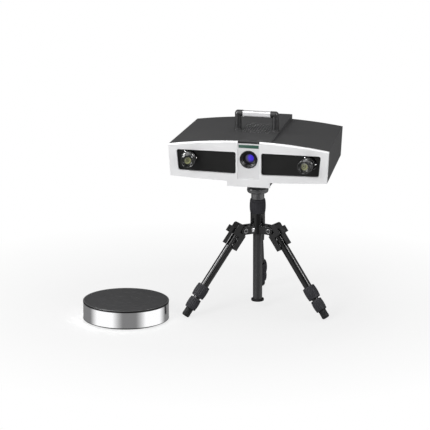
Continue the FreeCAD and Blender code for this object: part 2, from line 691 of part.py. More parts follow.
def make_cameras():
    glasses = []
    for side in CAMERAS:
        half = "camera_size / 2"
        case = box(f"camera_case_{side}", (f"-{half}", "camera_set_back", f"-{half}"),
                   ("camera_size", "camera_length", "camera_size"))
        stand = box(f"camera_stand_{side}",
                    (f"-{half}", "camera_set_back", "bench_height - lens_height"),
                    ("camera_size", "camera_length", f"lens_height - bench_height - {half}"))
        glass_back = "hood_depth + glass_thickness - lens_length"
        focus_end = "-focus_start - focus_length - rest_gap"
        barrel = turned_forward(f"camera_barrel_{side}", (
            (0, glass_back), ("lens_glass / 2", glass_back),
            ("lens_glass / 2", "hood_depth - lens_length"),
            ("hood_diameter / 2 - hood_lip", "-lens_length"),
            ("hood_diameter / 2", "-lens_length"), ("hood_diameter / 2", focus_end),
            ("barrel_diameter / 2", focus_end),
            ("barrel_diameter / 2", "rest_gap - focus_start"),
            ("iris_diameter / 2", "rest_gap - focus_start"),
            ("iris_diameter / 2", "camera_set_back"), (0, "camera_set_back")))
        finish(f"camera_{side}", fuse(f"camera_{side}_sum", case, stand, barrel), CAMERAS[side])

        inner = "barrel_diameter / 2 + run_fit"
        ring = turned_forward(f"focus_body_{side}", (
            (inner, "-focus_start - focus_length"),
            ("focus_diameter / 2", "-focus_start - focus_length"),
            ("focus_diameter / 2", "-focus_start"), (inner, "-focus_start")))
        finish(f"focus_ring_{side}", ring, CAMERAS[side])

        glass = turned_forward(f"lens_glass_{side}", lens_profile(
            "lens_glass / 2", glass_back, "hood_depth - lens_length", "glass_crown"))
        glass.setExpression("Placement", f"{CAMERAS[side]}.Placement")
        glasses.append(glass)
    finish("lens_glasses", group("lens_glass_pair", *glasses))


def lens_profile(radius, back, front, crown_height):
    # A flat-backed lens whose front bulges toward the scene by crown_height.
    bend = f"(({radius})^2 + ({crown_height})^2) / (2 * ({crown_height}))"
    return ((0, f"{front} - {crown_height}", bend), (radius, front), (radius, back), (0, back))


# Head: projector

def make_projector():
    half = "projector_width / 2"
    case = box("projector_case", (f"-{half}", "projector_set_back", "bench_height"),
               ("projector_width", "projector_length", "projector_top - bench_height"))
    slots = []
    for index in range(FIN_SLOTS):
        depth = f"projector_set_back + projector_length - fin_pitch * {index + 1}"
        slots.append(box(f"fin_slot_{index}", (f"-{half} - 1", depth,
                                               "projector_top - fin_height"),
                         ("projector_width + 2", "fin_pitch - fin_thickness",
                          "fin_height + 1")))
    finish("projector_body", cut("projector", case, *slots), HEAD)

    rim = "panel_set_back - projector_proud"
    glass_front = f"{rim} + projector_glass_depth"
    glass_back = f"{glass_front} + glass_thickness"
    outer = "projector_barrel / 2"
    glass = "projector_glass_diameter / 2"
    barrel = turned_forward("projector_barrel_body", (
        (0, glass_back), (glass, glass_back), (glass, glass_front),
        (f"{glass} + baffle_step", f"{glass_front} - baffle_bevel"),
        (f"{glass} + baffle_step", f"{rim} + baffle_depth"),
        (f"{outer} - baffle_step", f"{rim} + baffle_bevel"), (f"{outer} - baffle_lip", rim),
        (outer, rim), (outer, "projector_set_back"), (0, "projector_set_back")))
    finish("projector_lens", barrel, PROJECTOR)
    lens = turned_forward("projector_glass_body", lens_profile(
        glass, glass_back, glass_front, "glass_crown"))
    finish("projector_glass", lens, PROJECTOR)


# Head: board, fan and rear fittings

def make_control_board():
    left = "board_x - board_width / 2"
    front = "board_y - board_depth / 2"
    top = "bench_height + board_thickness"
    plate = box("board_plate", (left, front, "bench_height"),
                ("board_width", "board_depth", "board_thickness"))
    chip = box("board_chip", (f"{left} + chip_x", f"{front} + chip_y", top),
               ("chip_size", "chip_size", "chip_height"))
    coil = box("board_coil", (f"{left} + coil_x", f"{front} + coil_y", top),
               ("coil_size", "coil_size", "coil_height"))
    header = box("board_header", (f"{left} + header_x", f"{front} + header_y", top),
                 ("header_length", "header_size", "header_size"))
    memory = box("board_memory", (f"{left} + memory_x", f"{front} + memory_y", top),
                 ("memory_length", "memory_width", "memory_height"))
    finish("control_board", fuse("board", plate, chip, coil, header, memory), HEAD)


def make_fan():
    half = "fan_size / 2"
    case = box("fan_case", (f"-{half}", f"-{half}", 0), ("fan_size", "fan_size", "fan_thickness"))
    tunnel = rod("fan_tunnel", "fan_bore", "fan_thickness + 2", z=-1)
    back = "fan_thickness - fan_strut"
    along = box("fan_bar_along", (f"fan_strut / 2 - {half}", "-fan_strut / 2", back),
                ("fan_size - fan_strut", "fan_strut", "fan_strut"))
    upright = box("fan_bar_upright", ("-fan_strut / 2", f"fan_strut / 2 - {half}", back),
                  ("fan_strut", "fan_size - fan_strut", "fan_strut"))
    plate = rod("fan_plate", "fan_hub", "fan_strut", z=back)
    low = f"{back} - rest_gap - fan_hub_length"
    shaft = rod("fan_shaft_rod", "fan_shaft", "fan_hub_length + rest_gap + fan_strut", z=low)
    finish("fan_frame", fuse("fan", cut("fan_ring", case, tunnel), along, upright, plate,
                             shaft), FAN)

    hub = turned("fan_hub_body", (
        ("fan_shaft / 2 + run_fit", low), ("fan_hub / 2", low),
        ("fan_hub / 2", f"{low} + fan_hub_length"),
        ("fan_shaft / 2 + run_fit", f"{low} + fan_hub_length")))
    blades = []
    for index in range(FAN_BLADES):
        blade = doc.addObject("Part::Box", f"fan_blade_{index}")
        bind(blade, Length="blade_reach - fan_hub / 2 + blade_root", Width="blade_thickness",
             Height="blade_chord")
        turn = placement(yaw=f"{index} * 360 / {FAN_BLADES}")
        reach = placement(x="fan_hub / 2 - blade_root", z=f"{low} + fan_hub_length / 2",
                          roll="blade_pitch")
        centre = placement(y="-blade_thickness / 2", z="-blade_chord / 2")
        blade.setExpression("Placement", f"{turn} * {reach} * {centre}")
        blades.append(blade)
    finish("fan_rotor", fuse("rotor", hub, *blades), FAN)


def make_rear_panel():
    plate = outline_loft("rear_plate", "rear_front", "rear_back",
                         inset="casing_wall + sheet_gap", low="pan_thickness + sheet_gap",
                         top="casing_wall + sheet_gap")
    frame_box = box("switch_frame_box",
                    ("switch_x - switch_width / 2 - rest_gap - switch_frame",
                     "rear_front - switch_depth",
                     "fittings_z - switch_height / 2 - switch_frame"),
                    ("switch_width + 2 * (rest_gap + switch_frame)",
                     "switch_depth + rear_thickness / 2", "switch_height + 2 * switch_frame"))
    window = box("switch_window", ("switch_x - switch_width / 2 - rest_gap",
                                   "rear_front - switch_depth - 1",
                                   "fittings_z - switch_height / 2"),
                 ("switch_width + 2 * rest_gap", "switch_depth + rear_thickness + 2",
                  "switch_height"))
    pin_hole = rod("switch_pin_hole", "switch_pin + 2 * run_fit",
                   "switch_width + 2 * rest_gap + 2 * switch_pin_reach",
                   x="switch_x - switch_width / 2 - rest_gap - switch_pin_reach",
                   y="rear_front - switch_depth / 2", z="fittings_z", pitch=90)
    inlet = rod("inlet_hole", "inlet_diameter", "rear_thickness + 2", x="inlet_x",
                y="rear_front - 1", z="fittings_z", roll=-90)
    socket = box("socket_hole", ("socket_x - socket_width / 2", "rear_front - 1",
                                 "fittings_z - socket_height / 2"),
                 ("socket_width", "rear_thickness + 2", "socket_height"))
    slots = []
    for index in range(GRILLE_SLOTS):
        height = f"fan_z + grille_pitch * ({index} - {GRILLE_SLOTS - 1} / 2)"
        slots.append(box(f"grille_slot_{index}", ("fan_x - fan_bore / 2", "rear_front - 1",
                                                  f"{height} - grille_slot / 2"),
                         ("fan_bore", "rear_thickness + 2", "grille_slot")))
    disc = rod("grille_disc", "fan_bore", "rear_thickness + 2", x="fan_x", y="rear_front - 1",
               z="fan_z", roll=-90)
    grille = common("grille", fuse("grille_slots", *slots), disc)
    finish("rear_panel", cut("rear", fuse("rear_sum", plate, frame_box), window, pin_hole,
                             inlet, socket, grille), HEAD)


def make_rear_fittings():
    jack = turned("inlet_body", (
        (0, "-inlet_length"), ("inlet_diameter / 2", "-inlet_length"),
        ("inlet_diameter / 2", 0), ("inlet_diameter / 2 + inlet_flange", 0),
        ("inlet_diameter / 2 + inlet_flange", "inlet_proud"), ("inlet_bore / 2", "inlet_proud"),
        ("inlet_bore / 2", "-inlet_depth"), ("inlet_pin / 2", "-inlet_depth"),
        ("inlet_pin / 2", "-inlet_proud"), (0, "-inlet_proud")))
    finish("power_inlet", jack, INLET)

    shell = box("socket_shell", ("-socket_width / 2", "inlet_proud - socket_length",
                                 "-socket_height / 2"),
                ("socket_width", "socket_length", "socket_height"))
    space = box("socket_space", ("-socket_width / 2 + socket_wall",
                                 "inlet_proud - socket_length + socket_back",
                                 "-socket_height / 2 + socket_wall"),
                ("socket_width - 2 * socket_wall", "socket_length",
                 "socket_height - 2 * socket_wall"))
    tongue = box("socket_tongue", ("-socket_width / 4",
                                   "inlet_proud - socket_length + socket_back - socket_wall",
                                   "-socket_height / 8"),
                 ("socket_width / 2", "socket_length - socket_back - socket_wall",
                  "socket_height / 4"))
    finish("data_socket", fuse("socket", cut("socket_cup", shell, space), tongue), SOCKET)

    body = new_body("switch_body")
    half = "switch_height / 2 - switch_play"
    face = "switch_depth / 2 + rear_thickness + switch_proud"
    inside = "rest_gap - switch_depth / 2"
    rocker = ((inside, f"-({half}) + switch_taper"), (face, f"-({half})"),
              (f"{face} - switch_hollow", 0), (face, half), (inside, f"{half} - switch_taper"))
    pad(body, "rocker", "YZ_Plane", rocker, "switch_width", both_ways=True)
    sketch = add_sketch(body, "rocker_pin_sketch", "YZ_Plane")
    add_circle(sketch, 0, 0, "switch_pin")
    pin = body.newObject("PartDesign::Pad", "rocker_pin")
    set_depth(pin, sketch, "switch_width + 2 * switch_pin_reach", False, True)
    finish("power_switch", body, SWITCH)


# Tripod: column and spider

def make_platform():
    round_at = "disc_diameter / 2 - disc_round"
    disc = turned("platform_body", (
        ("column_diameter / 2", "hub_low"), ("hub_diameter / 2", "hub_low"),
        ("hub_diameter / 2", "disc_low"), (round_at, "disc_low", "disc_round"),
        ("disc_diameter / 2", "disc_low + disc_round"),
        ("disc_diameter / 2", "disc_top - disc_round", "disc_round"), (round_at, "disc_top"),
        ("stud_diameter / 2", "disc_top"), ("stud_diameter / 2", "column_top"),
        ("column_diameter / 2", "column_top")))
    finish("platform_disc", disc, TRIPOD)
    stud = turned("stud_body", (
        (0, "column_top"), ("stud_diameter / 2", "column_top"),
        ("stud_diameter / 2", "disc_top + stud_reach - stud_lead"),
        ("stud_diameter / 2 - stud_lead", "disc_top + stud_reach"), (0, "disc_top + stud_reach")))
    finish("mount_stud", stud, TRIPOD)


def make_column():
    tube = turned("column_body", (
        ("column_bore / 2", "column_low"), ("column_diameter / 2", "column_low"),
        ("column_diameter / 2", "column_top"), ("column_bore / 2", "column_top")))
    finish("centre_column", tube, TRIPOD)
    cap = turned("cap_body", (
        (0, "column_clearance"), ("cap_diameter / 2 - cap_round", "column_clearance", "cap_round"),
        ("cap_diameter / 2", "column_clearance + cap_round"), ("cap_diameter / 2", "column_low"),
        ("column_bore / 2", "column_low"), ("column_bore / 2", "column_low + cap_plug"),
        (0, "column_low + cap_plug")))
    finish("column_cap", cap, TRIPOD)


def barrel_bend(length, bulge):
    return f"((({length}) / 2)^2 + ({bulge})^2) / (2 * ({bulge}))"


def make_collar():
    shoulder = "spider_top + collet_length + rest_gap"
    end = "collar_diameter / 2 - collar_bulge"
    bend = barrel_bend("collar_height", "collar_bulge")
    collar = turned("collar_body", (
        ("collet_diameter / 2 + run_fit", "collar_low"), (end, "collar_low", bend),
        (end, "collar_top"), ("column_diameter / 2 + run_fit", "collar_top"),
        ("column_diameter / 2 + run_fit", shoulder),
        ("collet_diameter / 2 + run_fit", shoulder)))
    finish("column_collar", collar, TRIPOD)


def make_spider():
    inner = "column_diameter / 2 + run_fit"
    outer = "spider_diameter / 2"
    collet = "collet_diameter / 2"
    barrel = turned("spider_barrel", (
        (inner, "spider_low"), (outer, "spider_low"), (outer, "spider_top"),
        (collet, "spider_top"), (collet, "spider_top + collet_length"),
        (inner, "spider_top + collet_length")))
    added = []
    removed = [rod("spider_bore", f"2 * ({inner})", "spider_rise + 2 * spider_drop",
                   z="spider_low - 1")]
    pins = []
    for side, azimuth in LEGS:
        height = "hinge_height - knuckle_radius"
        arm = box(f"ear_arm_{side}", (0, 0, 0), ("hinge_radius - ear_start", "ear_width",
                                                 "2 * knuckle_radius"))
        place_around(arm, azimuth, x="ear_start", y="-ear_width / 2", z=height)
        knob = rod(f"ear_knob_{side}", "2 * knuckle_radius", "ear_width")
        place_around(knob, azimuth, x="hinge_radius", y="ear_width / 2", z="hinge_height",
                     roll=90)
        slot = box(f"ear_slot_{side}", (0, 0, 0), ("4 * knuckle_radius",
                                                   "tongue_width + 2 * rest_gap",
                                                   "4 * knuckle_radius"))
        place_around(slot, azimuth, x="hinge_radius - knuckle_radius - 1",
                     y="-tongue_width / 2 - rest_gap", z=f"{height} - knuckle_radius")
        hole = rod(f"ear_hole_{side}", "pin_diameter", "ear_width + 2")
        place_around(hole, azimuth, x="hinge_radius", y="ear_width / 2 + 1", z="hinge_height",
                     roll=90)
        added += [arm, knob]
        removed += [slot, hole]
        shank = rod(f"pin_shank_{side}", "pin_diameter", "ear_width")
        place_around(shank, azimuth, x="hinge_radius", y="ear_width / 2", z="hinge_height",
                     roll=90)
        heads = []
        for end, start in (("near", "ear_width / 2 + pin_head_height"),
                           ("far", "-ear_width / 2")):
            head = rod(f"pin_head_{end}_{side}", "pin_head", "pin_head_height")
            place_around(head, azimuth, x="hinge_radius", y=start, z="hinge_height", roll=90)
            heads.append(head)
        pins.append(fuse(f"pin_{side}", shank, *heads))
    finish("spider", cut("spider_solid", fuse("spider_sum", barrel, *added), *removed), TRIPOD)
    finish("hinge_pins", group("pin_group", *pins), TRIPOD)


def place_around(item, azimuth, **where):
    item.setExpression("Placement", f"{placement(yaw=azimuth)} * {placement(**where)}")


# Tripod: legs

def make_leg_top(side):
    body = new_body(f"leg_top_body_{side}")
    tongue = (("-casting_inner", "-casting_step"),
              ("casting_outer - casting_round", "-casting_step"),
              ("casting_outer - casting_round", "casting_top - casting_wall"),
              (0, "knuckle_radius", "knuckle_radius"),
              ("-knuckle_radius", 0))
    pad(body, f"tongue_{side}", "XZ_Plane", tongue, "tongue_width", both_ways=True)
    inside = "knuckle_radius + knuckle_room"
    sleeve = "leg_offset - casting_wall"
    wide = (("-casting_inner", "-casting_length"), (sleeve, "-casting_length"),
            (sleeve, "-casting_step"), ("casting_outer", "-casting_step"),
            ("casting_outer", "casting_top - casting_round", "casting_round"),
            ("casting_outer - casting_round", "casting_top"), (inside, "casting_top"),
            (inside, f"-({inside})"), ("-casting_inner", f"-({inside})"))
    pad(body, f"casting_{side}", "XZ_Plane", wide, "casting_width", both_ways=True)
    bore(body, f"tongue_hole_{side}", "XZ_Plane", 0, 0, "pin_diameter + 2 * run_fit",
         "casting_width", both_ways=True)
    bore(body, f"tube_seat_{side}", "XY_Plane", "leg_offset", 0, "upper_tube",
         "casting_length - tube_top + 1", lift="-casting_length - 1", turn_back=True)
    half = "stem_width / 2 + run_fit"
    rise = "stem_height / 2 + run_fit"
    middle = "-tab_high - tab_size / 2"
    slot = ((f"-({half})", f"{middle} - ({rise})"), (half, f"{middle} - ({rise})"),
            (half, f"{middle} + {rise}"), (f"-({half})", f"{middle} + {rise}"))
    last = pocket(body, f"stem_slot_{side}", "YZ_Plane", slot, "stem_length + rest_gap",
                  lift="casting_outer")
    doc.recompute()

    def is_long_corner(edge):
        upright = edge.BoundBox.ZLength > 0.9 * (dims.casting_length - dims.casting_step)
        return upright and edge.CenterOfMass.x < -dims.casting_inner + 1

    rounds = body.newObject("PartDesign::Fillet", f"casting_rounds_{side}")
    rounds.Base = (last, edges_where(last, is_long_corner))
    bind(rounds, Radius="casting_edge")
    return finish(f"leg_top_{side}", body, LEG_FRAMES[side])


def make_angle_tab(side):
    block = box(f"tab_block_{side}", ("casting_outer + rest_gap", "-tab_width / 2",
                                      "-tab_high - tab_size"),
                ("tab_depth", "tab_width", "tab_size"))
    lever = box(f"tab_lever_{side}", ("casting_outer - lever_inset", "-tab_width / 3",
                                      "-casting_step - rest_gap - lever_length"),
                ("lever_thickness", "2 * tab_width / 3", "lever_length"))
    stem = box(f"tab_stem_{side}", ("casting_outer + rest_gap - stem_length", "-stem_width / 2",
                                    "-tab_high - tab_size / 2 - stem_height / 2"),
               ("stem_length + 1", "stem_width", "stem_height"))
    finish(f"angle_tab_{side}", fuse(f"tab_{side}", block, lever, stem), LEG_FRAMES[side])


def make_tubes(side):
    tubes = (("upper", "middle_radius + run_fit", "tube_top"),
             ("middle", "lower_radius + run_fit", "middle_top"),
             ("lower", "lower_radius - tube_wall", "lower_top"))
    for name, inner, top in tubes:
        outer = f"{name}_radius"
        body = turned(f"{name}_tube_body_{side}", (
            (inner, f"-{name}_end"), (outer, f"-{name}_end"), (outer, f"-{top}"),
            (inner, f"-{top}")))
        finish(f"{name}_tube_{side}", body, TUBE_FRAMES[side])


def make_locks(side):
    for name, outer, inner, seat in (("upper", "upper_radius", "middle_radius", "upper_end"),
                                     ("lower", "middle_radius", "lower_radius", "middle_end")):
        rim = f"{name}_lock / 2 - lock_bulge"
        bend = barrel_bend(f"{name}_lock_length", "lock_bulge")
        low = f"-{name}_lock_low"
        high = f"-{name}_lock_high"
        body = turned(f"{name}_lock_body_{side}", (
            (f"{inner} + run_fit", low), (rim, low, bend), (rim, high),
            (f"{outer} + run_fit", high), (f"{outer} + run_fit", f"-{seat} - rest_gap"),
            (f"{inner} + run_fit", f"-{seat} - rest_gap")))
        finish(f"{name}_lock_{side}", body, TUBE_FRAMES[side])


def make_foot(side):
    top = "foot_length - leg_length"
    body = turned(f"foot_body_{side}", (
        (0, "-leg_length"), ("rubber_foot / 2 - foot_round", "-leg_length", "foot_round"),
        ("rubber_foot / 2", "foot_round - leg_length"), ("rubber_foot / 2", top),
        ("lower_radius", top), ("lower_radius", "-lower_end"), (0, "-lower_end")))
    finish(f"rubber_foot_{side}", body, TUBE_FRAMES[side])


# Turntable

def make_table_base():
    base = turned("table_base_body", (
        (0, 0), ("base_foot / 2", 0), ("base_foot / 2", "base_rise"),
        ("shell_bore / 2 - sheet_gap", "base_rise"),
        ("shell_bore / 2 - sheet_gap", "plate_top"),
        ("spindle_diameter / 2 + spindle_wall", "plate_top"),
        ("spindle_diameter / 2 + spindle_wall", "spindle_shoulder"),
        ("spindle_diameter / 2", "spindle_shoulder"), ("spindle_diameter / 2", "spindle_top"),
        (0, "spindle_top")))
    finish("table_base", base, TABLE)
    shell = turned("table_shell_body", (
        ("shell_bore / 2", "base_rise"), ("table_diameter / 2", "base_rise"),
        ("table_diameter / 2", "shell_top"), ("shell_bore / 2", "shell_top")))
    finish("table_shell", shell, TABLE)


def add_teeth(body, name, height, half_turn):
    # One tooth with straight flanks, repeated round the axis.
    pitch = f"{name}_pitch"
    root_half = "tooth_width / 2 + tooth_slant"
    tip_half = "tooth_width / 2 - tooth_slant"
    start = f"{pitch} - tooth_root - tooth_reach"
    corners = ((start, f"-({root_half})"), (f"{pitch} + tooth_reach", f"-({tip_half})"),
               (f"{pitch} + tooth_reach", tip_half), (start, root_half))
    sketch = add_sketch(body, f"{name}_tooth_sketch", "XY_Plane", "gear_low")
    if half_turn:
        sketch.setExpression(".AttachmentOffset.Rotation.Angle", full(f"180 / {name}_teeth"))
    add_outline(sketch, corners)
    tooth = body.newObject("PartDesign::Pad", f"{name}_tooth")
    set_depth(tooth, sketch, height, False, False)
    ring = body.newObject("PartDesign::PolarPattern", f"{name}_ring")
    ring.Originals = [tooth]
    ring.Axis = (sketch, ["N_Axis"])
    ring.Angle = 360
    bind(ring, Occurrences=f"{name}_teeth")
    body.Tip = ring


def make_platter():
    hub = "spindle_diameter / 2 + hub_wall"
    root = "gear_pitch - tooth_root"
    body = turned("platter_body", (
        ("spindle_diameter / 2 + run_fit", "spindle_shoulder + rest_gap"),
        (hub, "spindle_shoulder + rest_gap"), (hub, "gear_low"), (root, "gear_low"),
        (root, "platter_low"), ("table_diameter / 2", "platter_low"),
        ("table_diameter / 2", "platter_top - platter_round", "platter_round"),
        ("table_diameter / 2 - platter_round", "platter_top"), (0, "platter_top"),
        (0, "spindle_top + rest_gap"),
        ("spindle_diameter / 2 + run_fit", "spindle_top + rest_gap")))
    add_teeth(body, "gear", "platter_low - gear_low", False)
    finish("table_platter", body, TABLE)


def make_drive():
    motor = turned("motor_body", (
        ("motor_shaft / 2 + run_fit", "plate_top"), ("motor_diameter / 2", "plate_top"),
        ("motor_diameter / 2", "motor_top"),
        ("motor_shaft / 2 + run_fit", "motor_top")))
    finish("drive_motor", motor, DRIVE)
    root = "pinion_pitch - tooth_root"
    body = turned("pinion_body", (
        (0, "plate_top + rest_gap"), ("motor_shaft / 2", "plate_top + rest_gap"),
        ("motor_shaft / 2", "gear_low"), (root, "gear_low"),
        (root, "gear_low + pinion_height"), (0, "gear_low + pinion_height")))
    add_teeth(body, "pinion", "pinion_height", True)
    finish("drive_pinion", body, DRIVE)


# Every piece is checked before anything is written

def write_pieces():
    doc.recompute()
    for item in doc.Objects:
        if "Invalid" in item.State or "Error" in item.State:
            raise RuntimeError(f"{item.Name} did not compute: {item.State}")
    os.makedirs("parts", exist_ok=True)
    for item in pieces:
        shape = item.Shape
        if shape.isNull() or not shape.isValid():
            raise RuntimeError(f"{item.Label} has no valid shape")
        shape.exportStep(os.path.join("parts", item.Label + ".step"))
        print(item.Label, len(shape.Solids), round(shape.Volume), shape.BoundBox)


make_front_bezel()
make_centre_panel()
make_fascia_panel()
make_housing_shell()
make_spine_cover()
make_base_pan()
make_rear_panel()
make_mount_block()
make_handle()
make_cameras()
make_projector()
make_control_board()
make_fan()
make_rear_fittings()
make_platform()
make_column()
make_collar()
make_spider()
for leg_side, leg_azimuth in LEGS:
    make_leg_top(leg_side)
    make_angle_tab(leg_side)
    make_tubes(leg_side)
    make_locks(leg_side)
    make_foot(leg_side)
make_table_base()
make_platter()
make_drive()
write_pieces()
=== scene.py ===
import json
import math

import bmesh
import bpy
from mathutils import Matrix, Vector


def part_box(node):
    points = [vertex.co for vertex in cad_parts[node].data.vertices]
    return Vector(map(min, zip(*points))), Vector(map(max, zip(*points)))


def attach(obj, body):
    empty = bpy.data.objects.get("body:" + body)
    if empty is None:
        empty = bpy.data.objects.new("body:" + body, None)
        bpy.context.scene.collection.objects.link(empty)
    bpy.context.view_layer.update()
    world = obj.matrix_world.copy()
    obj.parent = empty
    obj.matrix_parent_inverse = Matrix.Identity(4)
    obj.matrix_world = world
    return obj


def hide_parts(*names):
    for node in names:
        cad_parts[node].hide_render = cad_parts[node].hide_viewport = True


# Looks of a desktop 3D scanner set. Lengths in the dictionaries are millimetres, the scene is
# in metres, and the front faces -Y.

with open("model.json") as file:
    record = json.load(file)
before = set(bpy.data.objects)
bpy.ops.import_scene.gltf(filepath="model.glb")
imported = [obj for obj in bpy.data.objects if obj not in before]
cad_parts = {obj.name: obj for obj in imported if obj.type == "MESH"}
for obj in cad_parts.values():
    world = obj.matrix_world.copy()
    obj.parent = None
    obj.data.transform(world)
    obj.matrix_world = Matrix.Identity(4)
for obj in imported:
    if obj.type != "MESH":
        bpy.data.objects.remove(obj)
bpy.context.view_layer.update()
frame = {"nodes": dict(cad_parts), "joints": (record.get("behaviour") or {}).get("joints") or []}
bpy.context.scene.view_settings.view_transform = "Standard"
print("frame loaded,", len(frame["nodes"]), "nodes")

legSides = ("left", "right", "rear")
eyeSides = ("left", "right")


# Shaders: a Wire is a socket that can be used in sums, a Finish the nodes of one material
# or of the world

class Wire:
    def __init__(self, finish, socket):
        self.finish = finish
        self.socket = socket

    def combine(self, operation, other, swapped=False):
        pair = (other, self) if swapped else (self, other)
        return self.finish.node("ShaderNodeMath", {"operation": operation},
                                {0: pair[0], 1: pair[1]})

    def __add__(self, other):
        return self.combine("ADD", other)

    def __sub__(self, other):
        return self.combine("SUBTRACT", other)

    def __rsub__(self, other):
        return self.combine("SUBTRACT", other, True)

    def __mul__(self, other):
        return self.combine("MULTIPLY", other)

    __radd__ = __add__
    __rmul__ = __mul__


class Finish:
    def __init__(self, owner, space="Object"):
        # owner is the material or the world that holds the nodes
        owner.use_nodes = True
        self.owner = owner
        self.tree = owner.node_tree
        self.tree.nodes.clear()
        self.place = self.node("ShaderNodeTexCoord", output=space)

    def node(self, kind, settings=None, sockets=None, output=0):
        made = self.tree.nodes.new(kind)
        for name, value in (settings or {}).items():
            if name == "stops":
                self.setStops(made.color_ramp, value)
            else:
                setattr(made, name, value)
        for name, value in (sockets or {}).items():
            if isinstance(value, Wire):
                self.tree.links.new(value.socket, made.inputs[name])
            else:
                made.inputs[name].default_value = value
        return Wire(self, made.outputs[output] if made.outputs else None)

    def setStops(self, ramp, stops):
        while len(ramp.elements) < len(stops):
            ramp.elements.new(1)
        for element, (position, level) in zip(ramp.elements, stops):
            element.position = position
            element.color = (level, level, level, 1)

    def vector(self, operation, first, second=(0, 0, 0), output="Vector"):
        return self.node("ShaderNodeVectorMath", {"operation": operation},
                         {0: first, 1: second}, output=output)

    def pick(self, operation, first, second):
        # The smaller or the larger of two values: "MINIMUM" or "MAXIMUM"
        return self.node("ShaderNodeMath", {"operation": operation}, {0: first, 1: second})

    def part(self, vector, axis):
        return self.node("ShaderNodeSeparateXYZ", None, {0: vector}, output=axis)

    def noise(self, size, stretch=(1, 1, 1), detail=2):
        # size is that of the larger lumps, in millimetres
        return self.node("ShaderNodeTexNoise", None, {
            "Vector": self.vector("MULTIPLY", self.place, stretch), "Scale": 1000 / size,
            "Detail": detail, "Roughness": 0.55})

    def ramp(self, value, *stops):
        return self.node("ShaderNodeValToRGB", {"stops": stops}, {0: value})

    def tint(self, mask, plain, other):
        # plain where the mask is 0 and other where it is 1; each a colour or a wire
        first, second = (end if isinstance(end, Wire) else (*end, 1) for end in (plain, other))
        return self.node("ShaderNodeMix", {"data_type": "RGBA"},
                         {0: mask, 6: first, 7: second}, output=2)

    def clouded(self, mask, colour, darker, lighter):
        return self.tint(mask, scaled(colour, darker), scaled(colour, lighter))

    def swung(self, middle, *swings):
        # A value that swings round its middle with each (noise, width of the swing)
        value = middle
        for noise, width in swings:
            value = value + (noise - 0.5) * width
        return value

    def softened(self, width):
        # The normal of a surface whose edges are rounded by so many millimetres
        return self.node("ShaderNodeBevel", {"samples": 4}, {"Radius": width / 1000})

    def edges(self, width):
        # 1 along the edges that get rubbed, 0 on the flats
        flat = self.node("ShaderNodeNewGeometry", output="Normal")
        alike = self.vector("DOT_PRODUCT", self.softened(width), flat, "Value")
        return self.ramp(alike, (0.80, 1), (0.97, 0))

    def shadedBoreWalls(self, low, high):
        # 1 on upright or downward faces between two corners, 0 elsewhere
        normal = self.node("ShaderNodeNewGeometry", output="Normal")
        upward = self.part(normal, "Z")
        reach = self.vector("ABSOLUTE", self.vector("SUBTRACT", self.place, (low + high) / 2))
        left = self.vector("SUBTRACT", (high - low) / 2, reach)
        nearest = self.pick("MINIMUM", self.part(left, "X"), self.part(left, "Y"))
        return self.ramp(upward, (0.3, 1), (0.5, 0)) * self.ramp(nearest * 1000, (0, 0), (0.1, 1))

    def bump(self, height, depth, below=None):
        # depth in millimetres
        sockets = {"Height": height, "Distance": depth / 1000}
        if below:
            sockets["Normal"] = below
        return self.node("ShaderNodeBump", None, sockets)

    def finish(self, **sockets):
        named = {name.replace("_", " "): value for name, value in sockets.items()}
        shader = self.node("ShaderNodeBsdfPrincipled", None, named)
        self.node("ShaderNodeOutputMaterial", None, {"Surface": shader})
        return self.owner


def newFinish(name):
    return Finish(bpy.data.materials.new(name))


def shade(red, green, blue):
    # A colour as the eye reads it, 0 to 255, in the renderer's own scale
    return tuple(((v / 255 + 0.055) / 1.055) ** 2.4 if v > 10 else v / 3295
                 for v in (red, green, blue))


def scaled(colour, factor):
    return tuple(min(1, factor * c) for c in colour)


# Sizes of noise and wear are millimetres, "Stops" are (noise, share worn) and "Rough" is how far
# the roughness swings
# The near black for the vent holes' walls is painted shade
painted = {"cloud": 55, "patch": 3, "patchStops": ((0.40, 0), (0.62, 1)), "worn": 0.75,
           "wearWidth": 0.7, "darker": 0.93, "lighter": 1.07, "fineRough": 0.12,
           "cloudRough": 0.10, "coatRoughness": 0.2, "boreShade": (0.004, 0.004, 0.004)}


def makePaint(name, colour, worn, roughness=0.4, metallic=0.0, coat=0.0, grain=0.35,
              grainDepth=0.012, shadedBores=None):
    # The (low, high) box in which upright walls are painted near black: painted shade inside the
    # vent holes
    paint = newFinish(name)
    cloud = paint.noise(painted["cloud"], detail=3)
    fine = paint.noise(grain, detail=1)
    patch = paint.noise(painted["patch"], detail=3)
    rub = (paint.edges(painted["wearWidth"]) * paint.ramp(patch, *painted["patchStops"])
           * painted["worn"])
    body = paint.clouded(cloud, colour, painted["darker"], painted["lighter"])
    colours = paint.tint(rub, body, worn)
    if shadedBores:
        # Painted shade: upright walls inside the vent box take the near black
        colours = paint.tint(paint.shadedBoreWalls(*shadedBores), colours, painted["boreShade"])
    return paint.finish(
        Base_Color=colours,
        Roughness=paint.swung(roughness, (fine, painted["fineRough"]),
                              (cloud, painted["cloudRough"])),
        Metallic=metallic, Coat_Weight=coat, Coat_Roughness=painted["coatRoughness"],
        Normal=paint.bump(fine, grainDepth))


rubbery = {"cloud": 14, "fine": 0.5, "dustStops": ((0.48, 0), (0.75, 1)), "dust": 0.5,
           "roughness": 0.62, "fineRough": 0.25, "shine": 0.15, "depth": 0.03}


def makeRubber(name, colour, dusty):
    rubber = newFinish(name)
    cloud = rubber.noise(rubbery["cloud"], detail=4)
    fine = rubber.noise(rubbery["fine"], detail=2)
    dust = rubber.ramp(cloud, *rubbery["dustStops"]) * rubbery["dust"]
    return rubber.finish(
        Base_Color=rubber.tint(dust, colour, dusty),
        Roughness=rubber.swung(rubbery["roughness"], (fine, rubbery["fineRough"])),
        Specular_IOR_Level=rubbery["shine"], Normal=rubber.bump(fine, rubbery["depth"]))


